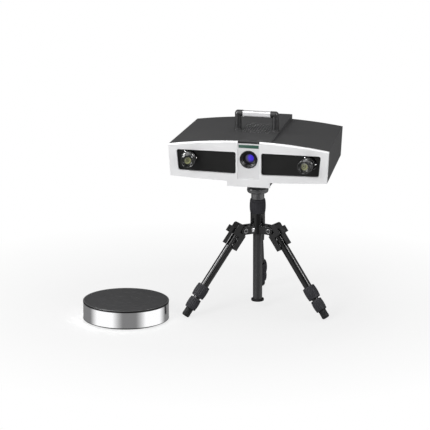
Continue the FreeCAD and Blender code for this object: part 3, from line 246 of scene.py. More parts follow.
machined = {"cloud": 30, "lineRough": 0.16, "cloudRough": 0.08}


def makeMetal(name, colour, roughness=0.3, lines=(1, 1, 30), lineSize=9, lineDepth=0.004,
              streak=0.08):
    # lines says how much finer the machining lines are along each axis
    metal = newFinish(name)
    brushed = metal.noise(lineSize, lines, detail=3)
    cloud = metal.noise(machined["cloud"], detail=3)
    return metal.finish(
        Base_Color=metal.clouded(brushed, colour, 1 - streak, 1 + streak), Metallic=1.0,
        Roughness=metal.swung(roughness, (brushed, machined["lineRough"]),
                              (cloud, machined["cloudRough"])),
        Normal=metal.bump(brushed, lineDepth))


anodised = {"cloud": 25, "patch": 2.5, "patchStops": ((0.45, 0), (0.65, 1)), "worn": 0.6,
            "wornColour": (0.16, 0.16, 0.165), "wearWidth": 0.5, "darker": 0.8, "lighter": 1.25,
            "lineRough": 0.14, "cloudRough": 0.12}


def makeBlackMetal(name, colour, roughness=0.3, shine=0.5, lines=(1, 1, 1), lineSize=1.5,
                   lineDepth=0.006, corner=0.4):
    # Anodised or lacquered black, with fine lines left by the tool and rubbed edges
    black = newFinish(name)
    turned = black.noise(lineSize, lines, detail=2)
    cloud = black.noise(anodised["cloud"], detail=4)
    patch = black.ramp(black.noise(anodised["patch"]), *anodised["patchStops"])
    rub = black.edges(anodised["wearWidth"]) * patch * anodised["worn"]
    body = black.clouded(cloud, colour, anodised["darker"], anodised["lighter"])
    return black.finish(
        Base_Color=black.tint(rub, body, anodised["wornColour"]),
        Roughness=black.swung(roughness, (turned, anodised["lineRough"]),
                              (cloud, anodised["cloudRough"])),
        Specular_IOR_Level=shine,
        Normal=black.bump(turned, lineDepth, black.softened(corner)))


moulded = {"cloud": 18, "darker": 0.85, "lighter": 1.2, "cloudRough": 0.16, "fineRough": 0.1}


def makePlastic(name, colour, roughness=0.45, grain=0.6, grainDepth=0.02, shine=0.5):
    plastic = newFinish(name)
    fine = plastic.noise(grain, detail=2)
    cloud = plastic.noise(moulded["cloud"], detail=4)
    return plastic.finish(
        Base_Color=plastic.clouded(cloud, colour, moulded["darker"], moulded["lighter"]),
        Roughness=plastic.swung(roughness, (cloud, moulded["cloudRough"]),
                                (fine, moulded["fineRough"])),
        Specular_IOR_Level=shine, Normal=plastic.bump(fine, grainDepth))


coated = {"smear": 4, "smearTone": 0.08, "roughness": 0.04, "smearRough": 0.03, "coat": 0.4,
          "coatRoughness": 0.02, "bending": 1.45}


def makeGlass(name, colour, ring, middles, radius, stops, glow=0.0):
    # A lens whose rings and spot are painted reflections. stops are (share of the radius, share
    # of the ring colour), and middles are the points that the rings run round, one for each lens
    # that wears this finish.
    glass = newFinish(name)
    reaches = [glass.vector("DISTANCE", glass.place, middle, "Value") for middle in middles]
    away = reaches[0]
    for reach in reaches[1:]:
        away = glass.pick("MINIMUM", away, reach)
    smear = glass.noise(coated["smear"], detail=3)
    share = glass.swung(away * (1000 / radius), (smear, coated["smearTone"]))
    # Painted reflections: rings of the ring colour round each middle
    colours = glass.tint(glass.ramp(share, *stops), colour, ring)
    sockets = {"Base_Color": colours,
               "Roughness": glass.swung(coated["roughness"], (smear, coated["smearRough"])),
               "Coat_Weight": coated["coat"], "Coat_Roughness": coated["coatRoughness"],
               "IOR": coated["bending"]}
    # Painted light: the glass glows in its own colours though it is no lamp
    if glow:
        sockets["Emission_Color"] = colours
        sockets["Emission_Strength"] = glow
    return glass.finish(**sockets)


# Shapes: a growing function adds a closed surface to a mesh, addPiece makes the mesh a piece

def addPiece(name, shape, material, body, node=None, smooth=35):
    mesh = bpy.data.meshes.new(name)
    bmesh.ops.recalc_face_normals(shape, faces=shape.faces)
    shape.to_mesh(mesh)
    shape.free()
    mesh.polygons.foreach_set("use_smooth", [True] * len(mesh.polygons))
    mesh.set_sharp_from_angle(angle=math.radians(smooth))
    piece = bpy.data.objects.new(name, mesh)
    bpy.context.scene.collection.objects.link(piece)
    mesh.materials.append(material)
    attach(piece, body)
    if node:
        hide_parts(node)


ridgeSteepness = 1.8


def ringRadius(radius, angle, form, count, depth):
    # "hex" is a hexagon, "ridge" a row of flat-topped ridges
    if form == "hex":
        return radius / math.cos((angle % (math.pi / 3)) - math.pi / 6)
    if form == "ridge":
        wave = max(-1, min(1, ridgeSteepness * math.cos(count * angle)))
        return radius - depth * (1 - wave) / 2
    return radius


def growTurned(shape, profile, place, steps=96, count=0, depth=0):
    # profile is a closed line of (radius, height) or (radius, height, form), in millimetres
    rings = []
    for radius, height, *form in profile:
        if radius == 0:
            rings.append([shape.verts.new(place @ Vector((0, 0, height / 1000)))])
            continue
        ring = []
        for step in range(steps):
            angle = 2 * math.pi * step / steps
            reach = ringRadius(radius, angle, form[0] if form else "round", count, depth) / 1000
            ring.append(shape.verts.new(place @ Vector((
                reach * math.cos(angle), reach * math.sin(angle), height / 1000))))
        rings.append(ring)
    for index, ring in enumerate(rings):
        other = rings[(index + 1) % len(rings)]
        if len(ring) == 1 and len(other) == 1:
            continue
        for step in range(steps):
            after = (step + 1) % steps
            corners = [ring[step % len(ring)], ring[after % len(ring)],
                       other[after % len(other)], other[step % len(other)]]
            shape.faces.new(list(dict.fromkeys(corners)))


slabCorner = {"steps": 5, "edgeEase": 0.3}


def growSlab(shape, width, depth, height, corner, edge, place):
    # A plate on place's XY plane, with rounded corners and a rounded upper edge
    steps, ease = slabCorner["steps"], slabCorner["edgeEase"] * edge
    rings = []
    for inset, level in ((0, 0), (0, height - edge), (ease, height - ease), (edge, height)):
        ring = []
        for quarter in range(4):
            signX = 1 if quarter in (0, 3) else -1
            signY = 1 if quarter in (0, 1) else -1
            for step in range(steps + 1):
                angle = math.pi / 2 * (quarter + step / steps)
                reach = corner - inset
                ring.append(shape.verts.new(place @ Vector((
                    (signX * (width / 2 - corner) + reach * math.cos(angle)) / 1000,
                    (signY * (depth / 2 - corner) + reach * math.sin(angle)) / 1000,
                    level / 1000))))
        rings.append(ring)
    for low, high in zip(rings, rings[1:]):
        for step in range(len(low)):
            after = (step + 1) % len(low)
            shape.faces.new((low[step], low[after], high[after], high[step]))
    shape.faces.new(rings[0][::-1])
    shape.faces.new(rings[-1])


def turnedPiece(name, profile, place, material, body, node=None, steps=96, count=0,
                depth=0, smooth=35):
    shape = bmesh.new()
    growTurned(shape, profile, place, steps, count, depth)
    addPiece(name, shape, material, body, node, smooth)


def ringProfile(inner, outer, low, high, lowEdge=0, highEdge=0, innerEdge=0):
    # A ring, or a disc where inner is 0, with its edges cut at 45 degrees
    profile = [(inner, low), (outer - lowEdge, low)]
    if lowEdge:
        profile.append((outer, low + lowEdge))
    profile.append((outer, high - highEdge))
    if highEdge:
        profile.append((outer - highEdge, high))
    profile.append((inner + innerEdge, high))
    if innerEdge:
        profile.append((inner, high - innerEdge))
    return profile


def turnTo(origin, upward, sideways=None):
    # A place whose Z runs along upward and whose X leans to sideways
    zAxis = Vector(upward).normalized()
    xAxis = Vector(sideways) if sideways else zAxis.orthogonal()
    xAxis = (xAxis - xAxis.dot(zAxis) * zAxis).normalized()
    yAxis = zAxis.cross(xAxis)
    place = Matrix((xAxis, yAxis, zAxis)).transposed().to_4x4()
    place.translation = Vector(origin)
    return place


def shifted(place, x=0, y=0, z=0):
    return place @ Matrix.Translation(Vector((x, y, z)) / 1000)


def facing(place, axis):
    # The same origin with Z turned to one of place's own axes: "x", "-x", "y" or "-y"
    turns = {"x": ("Y", 90), "-x": ("Y", -90), "y": ("X", -90), "-y": ("X", 90)}
    name, degrees = turns[axis]
    return place @ Matrix.Rotation(math.radians(degrees), 4, name)


# Shares of the head's radius and rise
screwHead = {"socket": 0.42, "socketFloor": 0.25, "socketTop": 0.93, "lip": 0.483, "crown": 0.62,
             "dome": ((0.86, 0.78), (0.97, 0.42), (1, 0)), "steps": 36}


def growScrew(shape, place, radius, rise):
    # A button-head screw with a hexagon socket, standing on place's XY plane
    socket = screwHead["socket"] * radius
    low, high = screwHead["socketFloor"] * rise, screwHead["socketTop"] * rise
    profile = [(0, low), (socket, low, "hex"), (socket, high, "hex"),
               (screwHead["lip"] * radius, rise), (screwHead["crown"] * radius, rise)]
    profile += [(share * radius, level * rise) for share, level in screwHead["dome"]]
    growTurned(shape, profile + [(0, 0)], place, steps=screwHead["steps"])


# Places that the pieces are built in

def jointNamed(name):
    return next(joint for joint in frame["joints"] if joint["name"] == name)


def middleOf(node):
    low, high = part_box(node)
    return (low + high) / 2


# How far the bezel's tongue hangs below the head, and how far the middle of a focus ring
# stands forward of the bezel's back
offsets = {"tongueDrop": 18.3, "focusForward": 16.5}

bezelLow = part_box("front_bezel")[0]
headPlace = Matrix.Translation((middleOf("front_bezel").x, bezelLow.y,
                                bezelLow.z + offsets["tongueDrop"] / 1000))
columnMiddle = middleOf("centre_column")
stemPlace = Matrix.Translation((columnMiddle.x, columnMiddle.y, 0))
tableMiddle = middleOf("table_shell")
tablePlace = Matrix.Translation((tableMiddle.x, tableMiddle.y, 0))
legPlaces = {}
tubePlaces = {}
for side in legSides:
    fold = jointNamed(f"leg_fold_{side}")
    twist = jointNamed(f"upper_twist_{side}")
    legUp = Vector(twist["axis"])
    legOut = Vector(fold["axis"]).cross(legUp)
    legPlaces[side] = turnTo(fold["pos_m"], legUp, legOut)
    aside = (Vector(twist["pos_m"]) - Vector(fold["pos_m"])).dot(legOut)
    tubePlaces[side] = shifted(legPlaces[side], x=1000 * aside)
eyePlaces = {}
for side in eyeSides:
    focus = jointNamed(f"focus_turn_{side}")
    eyePlaces[side] = shifted(turnTo(focus["pos_m"], focus["axis"], (1, 0, 0)),
                              z=-offsets["focusForward"])


# Camera, light and floor

studio = {
    "cameraPoint": (2475.7, -11261.4, 3317.4), "yaw": 12.4, "pitch": 15.0, "focal": 5100.0,
    "imageWidth": 430.0, "sensor": 36.0, "nearest": 0.1, "farthest": 100,
    "softboxes": {
        # place, aimed at, width, height, watts
        "key": ((-900, -2300, 1500), (40, 0, 250), 900, 900, 25),
        "fill": ((1700, -2300, 900), (40, 0, 250), 900, 1100, 10),
        "top": ((100, 200, 2400), (40, 0, 250), 1500, 1200, 9),
    },
    "glints": {
        # the same, for lamps that only glossy surfaces show
        "left": ((-900, -500, 900), (20, 0, 150), 320, 900, 34),
        "right": ((1150, -450, 1000), (150, 0, 150), 220, 900, 18),
        "above": ((-200, -500, 1850), (95, -60, 420), 700, 400, 7),
    },
    # The surround's grey for plain surfaces, and where the gap is turned to, in degrees
    "surround": 0.42, "bandTurn": 22.0,
    # What mirrors see, from opposite the gap (0) to its middle (1)
    "mirror": ((0.0, 0.22), (0.25, 0.22), (0.46, 1.08), (0.85, 1.08), (0.975, 0.22)),
    # Glow distances, the floor's half size and its drop are metres
    "floor": (0.86, 0.86, 0.86), "floorHalf": 14, "floorDrop": 0.0003,
    "glowNear": 0.76, "glowStart": 0.35, "glowFull": 0.8,
}


def makeCamera():
    data = bpy.data.cameras.new("camera")
    data.sensor_width = studio["sensor"]
    data.lens = studio["focal"] / studio["imageWidth"] * studio["sensor"]
    data.clip_start, data.clip_end = studio["nearest"], studio["farthest"]
    camera = bpy.data.objects.new("camera", data)
    bpy.context.scene.collection.objects.link(camera)
    camera.location = Vector(studio["cameraPoint"]) / 1000
    camera.rotation_euler = (math.radians(90 - studio["pitch"]), 0, math.radians(studio["yaw"]))
    bpy.context.scene.camera = camera


def makeLamps(lamps, lightsAll):
    for name, (point, aim, width, height, watts) in lamps.items():
        data = bpy.data.lights.new(name, "AREA")
        data.shape = "RECTANGLE"
        data.size, data.size_y = width / 1000, height / 1000
        data.energy = watts
        lamp = bpy.data.objects.new(name, data)
        bpy.context.scene.collection.objects.link(lamp)
        lamp.location = Vector(point) / 1000
        toward = Vector(aim) - Vector(point)
        lamp.rotation_euler = toward.to_track_quat("-Z", "Y").to_euler()
        lamp.visible_diffuse = lightsAll


def makeSurround():
    # White to the eye. Mirrors see a white studio with a grey gap toward its front.
    world = bpy.data.worlds.new("studio")
    bpy.context.scene.world = world
    sky = Finish(world, "Generated")
    turn = math.radians(studio["bandTurn"])
    gap = (math.sin(turn), -math.cos(turn), 0)
    level = sky.vector("NORMALIZE", sky.vector("MULTIPLY", sky.place, (1, 1, 0)))
    toGap = sky.vector("DOT_PRODUCT", level, gap, "Value")
    mirror = sky.ramp(toGap * 0.5 + 0.5, *studio["mirror"])
    seen, glossy, through = (sky.node("ShaderNodeLightPath", output=f"Is {ray} Ray")
                             for ray in ("Camera", "Glossy", "Transmission"))
    tone = sky.tint(glossy, (studio["surround"],) * 3, mirror)
    tone = sky.tint(sky.pick("MAXIMUM", seen, through), tone, (1, 1, 1))
    shader = sky.node("ShaderNodeBackground", None, {"Color": tone, "Strength": 1.0})
    sky.node("ShaderNodeOutputWorld", None, {"Surface": shader})


def makeFloor():
    shape = bmesh.new()
    bmesh.ops.create_grid(shape, x_segments=1, y_segments=1, size=studio["floorHalf"])
    mesh = bpy.data.meshes.new("floor")
    shape.to_mesh(mesh)
    shape.free()
    floor = bpy.data.objects.new("floor", mesh)
    floor.location.z = -studio["floorDrop"]
    floor.visible_glossy = False
    bpy.context.scene.collection.objects.link(floor)
    pale = newFinish("paleFloor")
    matte = pale.node("ShaderNodeBsdfDiffuse", None, {"Color": (*studio["floor"], 1)})
    glow = pale.node("ShaderNodeEmission", None, {"Color": (1, 1, 1, 1), "Strength": 1.0})
    away = pale.vector("LENGTH", pale.place, output="Value")
    spread = pale.node("ShaderNodeMapRange", None, {
        "Value": away, "From Min": studio["glowStart"], "From Max": studio["glowFull"],
        "To Min": studio["glowNear"], "To Max": 1.0})
    seen = pale.node("ShaderNodeLightPath", output="Is Camera Ray") * spread
    both = pale.node("ShaderNodeMixShader", None, {0: seen, 1: matte, 2: glow})
    pale.node("ShaderNodeOutputMaterial", None, {"Surface": both})
    mesh.materials.append(pale.owner)


makeCamera()
makeLamps(studio["softboxes"], True)
makeLamps(studio["glints"], False)
makeSurround()
makeFloor()
print("camera, light and floor")


# Finishes of the CAD pieces

# The spine cover slopes up from the bezel's top, whose height is crown and whose depth is bezel
vent = {"columns": 11, "rows": 9, "across": 6.2, "along": 9.5, "middle": 114, "reach": 200,
        "hole": 2.3, "lip": 0.45, "rise": 0.18, "sunk": 0.3, "steps": 16,
        "crown": 90, "bezel": 6, "frontStep": 1.2, "slope": 0.03713}

silver = makePaint("silverPaint", shade(233, 233, 234), (0.55, 0.55, 0.56), roughness=0.4,
                   metallic=0.15, grain=0.3, grainDepth=0.006)
panelSilver = makePaint("panelPaint", shade(218, 218, 219), (0.55, 0.55, 0.56), roughness=0.4,
                        metallic=0.15, coat=0.1, grain=0.3, grainDepth=0.006)
ventMiddle = headPlace.translation + Vector((0, vent["middle"], 0)) / 1000
ventReach = Vector((vent["across"] * vent["columns"] / 2, vent["along"] * vent["rows"] / 2,
                    vent["reach"])) / 1000
# The casing's vent holes get painted shade on their walls
casing = makePaint("casingPaint", shade(46, 46, 47), (0.22, 0.22, 0.23), roughness=0.55,
                   grain=0.7, grainDepth=0.035,
                   shadedBores=(ventMiddle - ventReach, ventMiddle + ventReach))
windowBlack = makePlastic("windowBlack", shade(20, 20, 20), roughness=0.42, grain=0.5,
                          grainDepth=0.012, shine=0.2)
panBlack = makeBlackMetal("panBlack", shade(48, 48, 49), roughness=0.5)
handleBlack = makePlastic("handleBlack", shade(36, 36, 37), roughness=0.38, grain=0.8, shine=0.35)
handleSilver = makePaint("handleSilver", shade(232, 232, 234), (0.6, 0.6, 0.61), roughness=0.3,
                         metallic=0.35, grain=0.3, grainDepth=0.004)
lensBlack = makeBlackMetal("lensBlack", shade(14, 14, 15), roughness=0.18, shine=0.8,
                           lines=(0.3, 14, 0.3))
projectorBlack = makeBlackMetal("projectorBlack", shade(12, 12, 13), roughness=0.3, shine=0.2)
boardGreen = makePlastic("boardGreen", (0.02, 0.12, 0.05), roughness=0.3)
fittingBlack = makePlastic("fittingBlack", shade(30, 30, 31), roughness=0.4)
socketMetal = makeMetal("socketMetal", (0.62, 0.62, 0.63), roughness=0.25)
castBlack = makeBlackMetal("castBlack", shade(14, 14, 15), roughness=0.24, shine=0.35,
                           lineSize=0.9, lineDepth=0.02, corner=1.2)
stemBlack = makeBlackMetal("stemBlack", shade(50, 50, 51), roughness=0.36, shine=0.4,
                           lines=(20, 20, 0.2), lineSize=12)
tubeBlack = makeBlackMetal("tubeBlack", shade(12, 12, 13), roughness=0.2, shine=0.3,
                           lineSize=40, lineDepth=0.002)
tabBlack = makePlastic("tabBlack", shade(22, 22, 23), roughness=0.3, shine=0.35)
lockRubber = makeRubber("lockRubber", shade(47, 47, 51), shade(66, 66, 71))
footRubber = makeRubber("footRubber", shade(30, 30, 31), shade(62, 62, 64))
turnedSteel = makeMetal("turnedSteel", (0.6, 0.6, 0.61), roughness=0.25, lines=(1, 1, 12))
tableSteel = makeMetal("tableSteel", (0.93, 0.93, 0.94), roughness=0.13, lines=(0.3, 0.3, 25),
                       lineSize=14, lineDepth=0.003, streak=0.03)
platterBlack = makePlastic("platterBlack", shade(70, 70, 71), roughness=0.42, grain=0.5,
                           grainDepth=0.015)
plainBlack = makePlastic("plainBlack", shade(28, 28, 29), roughness=0.5)
rimBlack = makeBlackMetal("rimBlack", shade(12, 12, 13), roughness=0.12, shine=0.5, lineSize=6)
edgeBlack = makePlastic("edgeBlack", shade(14, 14, 15), roughness=0.4, grain=0.4, shine=0.2)
baffleBlack = makePlastic("baffleBlack", shade(8, 8, 9), roughness=0.5, grain=0.4, shine=0.3)
discBlack = makeBlackMetal("discBlack", shade(76, 76, 78), roughness=0.2, shine=0.8, corner=1.0)
screwBlack = makeBlackMetal("screwBlack", shade(26, 26, 27), roughness=0.2, shine=0.6)
seatMetal = makeMetal("seatMetal", (0.16, 0.16, 0.15), roughness=0.22)
brightSteel = makeMetal("brightSteel", (0.72, 0.72, 0.73), roughness=0.2, lineSize=2)
ventLip = makePaint("ventLip", shade(62, 62, 63), (0.2, 0.2, 0.21), roughness=0.5)
padBlack = makeRubber("padBlack", shade(66, 66, 67), shade(80, 80, 81))
greenStrip = makePaint("greenStrip", shade(48, 86, 72), shade(110, 140, 130), roughness=0.3,
                       grain=1.0, grainDepth=0.004)

cadFinishes = {
    silver: ("front_bezel",),
    panelSilver: ("centre_panel",),
    handleSilver: ("handle_grip",),
    casing: ("housing_shell", "spine_cover", "rear_panel"),
    windowBlack: ("fascia_panel",),
    panBlack: ("base_pan", "mount_block"),
    handleBlack: ("handle_ends",),
    lensBlack: ("camera_left", "camera_right", "focus_ring_left", "focus_ring_right"),
    projectorBlack: ("projector_lens", "projector_body"),
    boardGreen: ("control_board",),
    fittingBlack: ("power_switch", "power_inlet", "fan_frame", "fan_rotor"),
    socketMetal: ("data_socket",),
    castBlack: ("spider",) + tuple(f"leg_top_{side}" for side in legSides),
    discBlack: ("platform_disc",),
    stemBlack: ("centre_column",),
    tubeBlack: tuple(f"{part}_tube_{side}" for part in ("upper", "middle", "lower")
                     for side in legSides),
    tabBlack: tuple(f"angle_tab_{side}" for side in legSides),
    lockRubber: ("column_collar",) + tuple(f"{part}_lock_{side}" for part in ("upper", "lower")
                                           for side in legSides),
    footRubber: ("column_cap",) + tuple(f"rubber_foot_{side}" for side in legSides),
    turnedSteel: ("mount_stud", "hinge_pins", "drive_motor"),
    tableSteel: ("table_shell",),
    platterBlack: ("table_platter",),
    plainBlack: ("table_base", "drive_pinion"),
}


def dressNode(node, material):
    piece = frame["nodes"][node]
    piece.data.materials.clear()
    piece.data.materials.append(material)


for material, nodes in cadFinishes.items():
    for node in nodes:
        dressNode(node, material)

# The spot and the rings are painted reflections, off the middle of the glass as a lamp's image in
# it is
glasses = {
    # The violet glass's glow is painted light
    "violetReflectionSpot": (4.2, 0, 2.2), "violetRadius": 12, "violetPaintedGlow": 0.12,
    "violetStops": ((0.0, 1), (0.42, 1), (0.62, 0.5), (0.8, 0.15), (1, 0)),
    "oliveReflectionSpot": (-1.8, 1.8, 33.5), "oliveRadius": 9.5,
    "oliveStops": ((0, 0), (0.16, 0.03), (0.27, 0.55), (0.42, 0.25), (0.62, 0.3), (0.82, 1),
                   (0.95, 0.6)),
}
violetReflectionSpot = middleOf("projector_glass") + Vector(glasses["violetReflectionSpot"]) / 1000
violetReflectionSpot.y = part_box("projector_glass")[0].y
violet = makeGlass("violetGlass", shade(40, 36, 58), shade(74, 50, 226), (violetReflectionSpot,),
                   glasses["violetRadius"], glasses["violetStops"], glasses["violetPaintedGlow"])
dressNode("projector_glass", violet)
oliveReflectionSpots = [shifted(eyePlaces[side], *glasses["oliveReflectionSpot"]).translation for side in eyeSides]
olive = makeGlass("oliveGlass", shade(30, 31, 18), shade(176, 178, 132), oliveReflectionSpots,
                  glasses["oliveRadius"], glasses["oliveStops"])
dressNode("lens_glasses", olive)
print("finishes on the CAD pieces")


# Scan head

label = {"width": 47.4, "height": 7.6, "middle": 77.3, "recess": 3.45, "thickness": 0.4,
         "corner": 0.8, "edge": 0.12}


def makeLabelStrip():
    # A bare strip: no words are put on it
    place = facing(shifted(headPlace, y=label["recess"], z=label["middle"]), "-y")
    shape = bmesh.new()
    growSlab(shape, label["width"], label["height"], label["thickness"], label["corner"],
             label["edge"], place)
    addPiece("labelStrip", shape, greenStrip, "head")


# Forward distances are from the bezel's back, along the lens axis
eye = {
    "focusStart": 9, "focusEnd": 24, "focusRadius": 16.8, "focusBore": 13.05, "band": 1.8,
    "knurls": 54, "knurlDepth": 0.55, "knurlRunOut": 0.4, "chamfer": 0.6, "shoulder": 1.5,
    "rimInner": 13.4, "rimOuter": 15.9, "rimStart": 38.4, "rimEnd": 40.7, "rimSlant": 1.7,
    "rimInnerEdge": 0.5,
    # inner radius, outer radius, forward
    "baffles": ((11.2, 12.6, 37.8), (9.9, 11.4, 35.7)), "baffleDepth": 0.7,
    "baffleLip": (0.3, 0.2),
    "seatInner": 7.7, "seatOuter": 9.5, "seatStart": 32.2, "seatEnd": 33.1, "seatSlant": 0.3,
    "bandStart": 29.5, "bandRadius": 15.85, "bandDepth": 0.9, "bandWidth": 2.5,
    "bandSlant": 0.3,
    "screwRadius": 1.7, "screwRise": 2.0, "screwForward": 5.0, "screwAngles": (0, 120, 240),
    "irisRadius": 16.3,
}


def growBaffle(shape, inner, outer, front, depth, lip, place):
    # A thin ring inside a lens barrel, whose inner lip stands forward
    growTurned(shape, [(inner, front), (outer, front - depth), (outer, front),
                       (inner + lip[0], front + lip[1])], place)


def makeEye(side):
    place = eyePlaces[side]
    start, end, radius = eye["focusStart"], eye["focusEnd"], eye["focusRadius"]
    bore, chamfer, shoulder = eye["focusBore"], eye["chamfer"], eye["shoulder"]
    band, runOut = eye["band"], eye["band"] + eye["knurlRunOut"]
    turnedPiece(f"focusKnurl_{side}", [
        (bore, start), (radius - chamfer, start), (radius, start + chamfer),
        (radius, start + band), (radius, start + runOut, "ridge"),
        (radius, end - runOut, "ridge"), (radius, end - band), (radius, end - shoulder),
        (radius - shoulder, end), (bore, end)],
        place, lensBlack, f"focus_{side}", f"focus_ring_{side}",
        steps=6 * eye["knurls"], count=eye["knurls"], depth=eye["knurlDepth"], smooth=25)

    turnedPiece(f"hoodRim_{side}", ringProfile(
        eye["rimInner"], eye["rimOuter"], eye["rimStart"], eye["rimEnd"],
        highEdge=eye["rimSlant"], innerEdge=eye["rimInnerEdge"]),
        place, rimBlack, "head")

    shape = bmesh.new()
    for inner, outer, forward in eye["baffles"]:
        growBaffle(shape, inner, outer, forward, eye["baffleDepth"], eye["baffleLip"], place)
    radius, start, slant = eye["bandRadius"], eye["bandStart"], eye["bandSlant"]
    low, end = radius - eye["bandDepth"], start + eye["bandWidth"]
    growTurned(shape, [(low, start), (radius, start + slant), (radius, end - slant), (low, end)],
               place)
    addPiece(f"hoodRings_{side}", shape, lensBlack, "head")

    inner, outer = eye["seatInner"], eye["seatOuter"]
    start, end = eye["seatStart"], eye["seatEnd"]
    turnedPiece(f"glassSeat_{side}", [
        (inner, start), (outer, start), (outer, end), (inner + eye["seatSlant"], end)],
        place, seatMetal, "head")

    shape = bmesh.new()
    for degrees in eye["screwAngles"]:
        turned = place @ Matrix.Rotation(math.radians(degrees), 4, "Z")
        growScrew(shape, facing(shifted(turned, x=eye["irisRadius"], z=eye["screwForward"]), "x"),
                  eye["screwRadius"], eye["screwRise"])
    addPiece(f"irisScrews_{side}", shape, brightSteel, "head")


# Depths are from the bezel's front plane
projector = {
    "middle": 46.6, "rimInner": 18.6, "rimOuter": 20.6, "rimFront": 1.1, "rimBack": 2.7,
    "rimEdge": 0.4,
    # inner radius, outer radius, depth
    "baffles": ((15.6, 18.6, 4.2), (14.0, 16.6, 6.4), (12.9, 15.0, 8.6)), "baffleDepth": 0.9,
    "baffleLip": (0.4, 0.25),
    "seatInner": 10.3, "seatOuter": 14.2, "seatFront": 11.2, "seatBack": 13.0,
    "seatSlant": 1.2,
}


def makeProjectorRings():
    place = facing(shifted(headPlace, z=projector["middle"]), "-y")
    edge = projector["rimEdge"]
    turnedPiece("projectorRim", ringProfile(
        projector["rimInner"], projector["rimOuter"], -projector["rimBack"],
        -projector["rimFront"], highEdge=edge, innerEdge=edge),
        place, projectorBlack, "head")
    shape = bmesh.new()
    for inner, outer, depth in projector["baffles"]:
        growBaffle(shape, inner, outer, -depth, projector["baffleDepth"],
                   projector["baffleLip"], place)
    inner, outer = projector["seatInner"], projector["seatOuter"]
    front, back = projector["seatFront"], projector["seatBack"]
    growTurned(shape, [(inner, -back), (outer, -back), (outer, -front),
                       (inner + projector["seatSlant"], -front)], place)
    addPiece("projectorBaffles", shape, baffleBlack, "head")


def makeVentRims():
    # A pressed lip round each vent hole
    hole, lip, rise, sunk = vent["hole"], vent["lip"], vent["rise"], vent["sunk"]
    lipProfile = [(hole, -sunk), (hole + lip, -sunk), (hole + lip, 0.3 * rise),
                  (hole + 0.7 * lip, rise), (hole + 0.3 * lip, rise), (hole, 0.3 * rise)]
    shape = bmesh.new()
    tilt = Matrix.Rotation(math.atan(vent["slope"]), 4, "X")
    for column in range(vent["columns"]):
        for row in range(vent["rows"]):
            x = vent["across"] * (column - (vent["columns"] - 1) / 2)
            y = vent["middle"] + vent["along"] * (row - (vent["rows"] - 1) / 2)
            z = vent["crown"] + vent["frontStep"] + vent["slope"] * (y - vent["bezel"])
            growTurned(shape, lipProfile, shifted(headPlace, x, y, z) @ tilt,
                       steps=vent["steps"])
    addPiece("ventRims", shape, ventLip, "head", smooth=60)


# x across the head and z above its bottom, on the rear panel. The rings go round the inlet
# and the fan.
rear = {
    "plane": 240,
    "panelScrews": ((-164, 14), (164, 14), (-166, 66), (166, 66), (-30, 14), (30, 14),
                    (-30, 74), (30, 74)),
    "fanScrews": ((-115, 26), (-75, 26), (-115, 66), (-75, 66)), "radius": 2.9, "rise": 1.6,
    # x, z, inner radius, outer radius, rise
    "rings": ((55, 46, 6.6, 8.2, 0.8), (-95, 46, 23.6, 25.6, 0.7)), "ringSunk": 0.2,
    "ringEdge": 0.3,
}


def makeRearFittings():
    shape = bmesh.new()
    for x, z in rear["panelScrews"] + rear["fanScrews"]:
        growScrew(shape, facing(shifted(headPlace, x, rear["plane"], z), "y"), rear["radius"],
                  rear["rise"])
    addPiece("rearScrews", shape, screwBlack, "head")
    shape = bmesh.new()
    edge = rear["ringEdge"]
    for x, z, inner, outer, rise in rear["rings"]:
        growTurned(shape, ringProfile(inner, outer, -rear["ringSunk"], rise, highEdge=edge,
                                      innerEdge=edge),
                   facing(shifted(headPlace, x, rear["plane"], z), "y"))
    addPiece("rearRings", shape, casing, "head")


handle = {"half": 44.5, "depth": 95, "seat": 96.5, "flangeRadius": 9.3, "flangeRise": 1.6,
          "flangeSunk": 0.2, "flangeEdge": 0.7, "barMiddle": 133.75, "barHalf": 33,
          "seamRadius": 8.1, "seamWidth": 1.2, "seamEdge": 0.3}


def makeHandleTrim():
    shape = bmesh.new()
    flange = ringProfile(0, handle["flangeRadius"], -handle["flangeSunk"],
                         handle["flangeRise"], highEdge=handle["flangeEdge"])
    edge = handle["seamEdge"]
    seam = ringProfile(0, handle["seamRadius"], 0, handle["seamWidth"], edge, edge)
    for axis, sign in (("-x", -1), ("x", 1)):
        growTurned(shape, flange, shifted(headPlace, sign * handle["half"], handle["depth"],
                                          handle["seat"]))
        growTurned(shape, seam, facing(shifted(headPlace, sign * handle["barHalf"],
                                               handle["depth"], handle["barMiddle"]), axis))
    addPiece("handleTrim", shape, handleBlack, "head")


makeLabelStrip()
for side in eyeSides:
    makeEye(side)
makeProjectorRings()
makeVentRims()
makeRearFittings()
makeHandleTrim()
print("scan head details")


# Tripod

# half length, end radius, bulge, lower and upper bore, where the bore changes, end band
sleeves = {
    "upper": (15.5, 14.55, 1.2, 8.25, 9.55, -2.8, 4.5),
    "lower": (14.0, 12.8, 1.2, 6.95, 8.25, -4.3, 4.0),
    "collar": (16.7, 17.5, 1.5, 14.55, 11.05, 7.3, 4.5),
}
sleeveRibs = {"upper": 22, "lower": 20, "collar": 26}
# The groove between an end band and the ribs: its depth, its slope and where its flat ends
sleeveGrip = {"edge": 0.7, "grooveDepth": 0.6, "grooveSlope": 0.3, "grooveEnd": 0.9,
              "ribInset": 1.2, "ribDepth": 0.9, "ribLevels": 4}


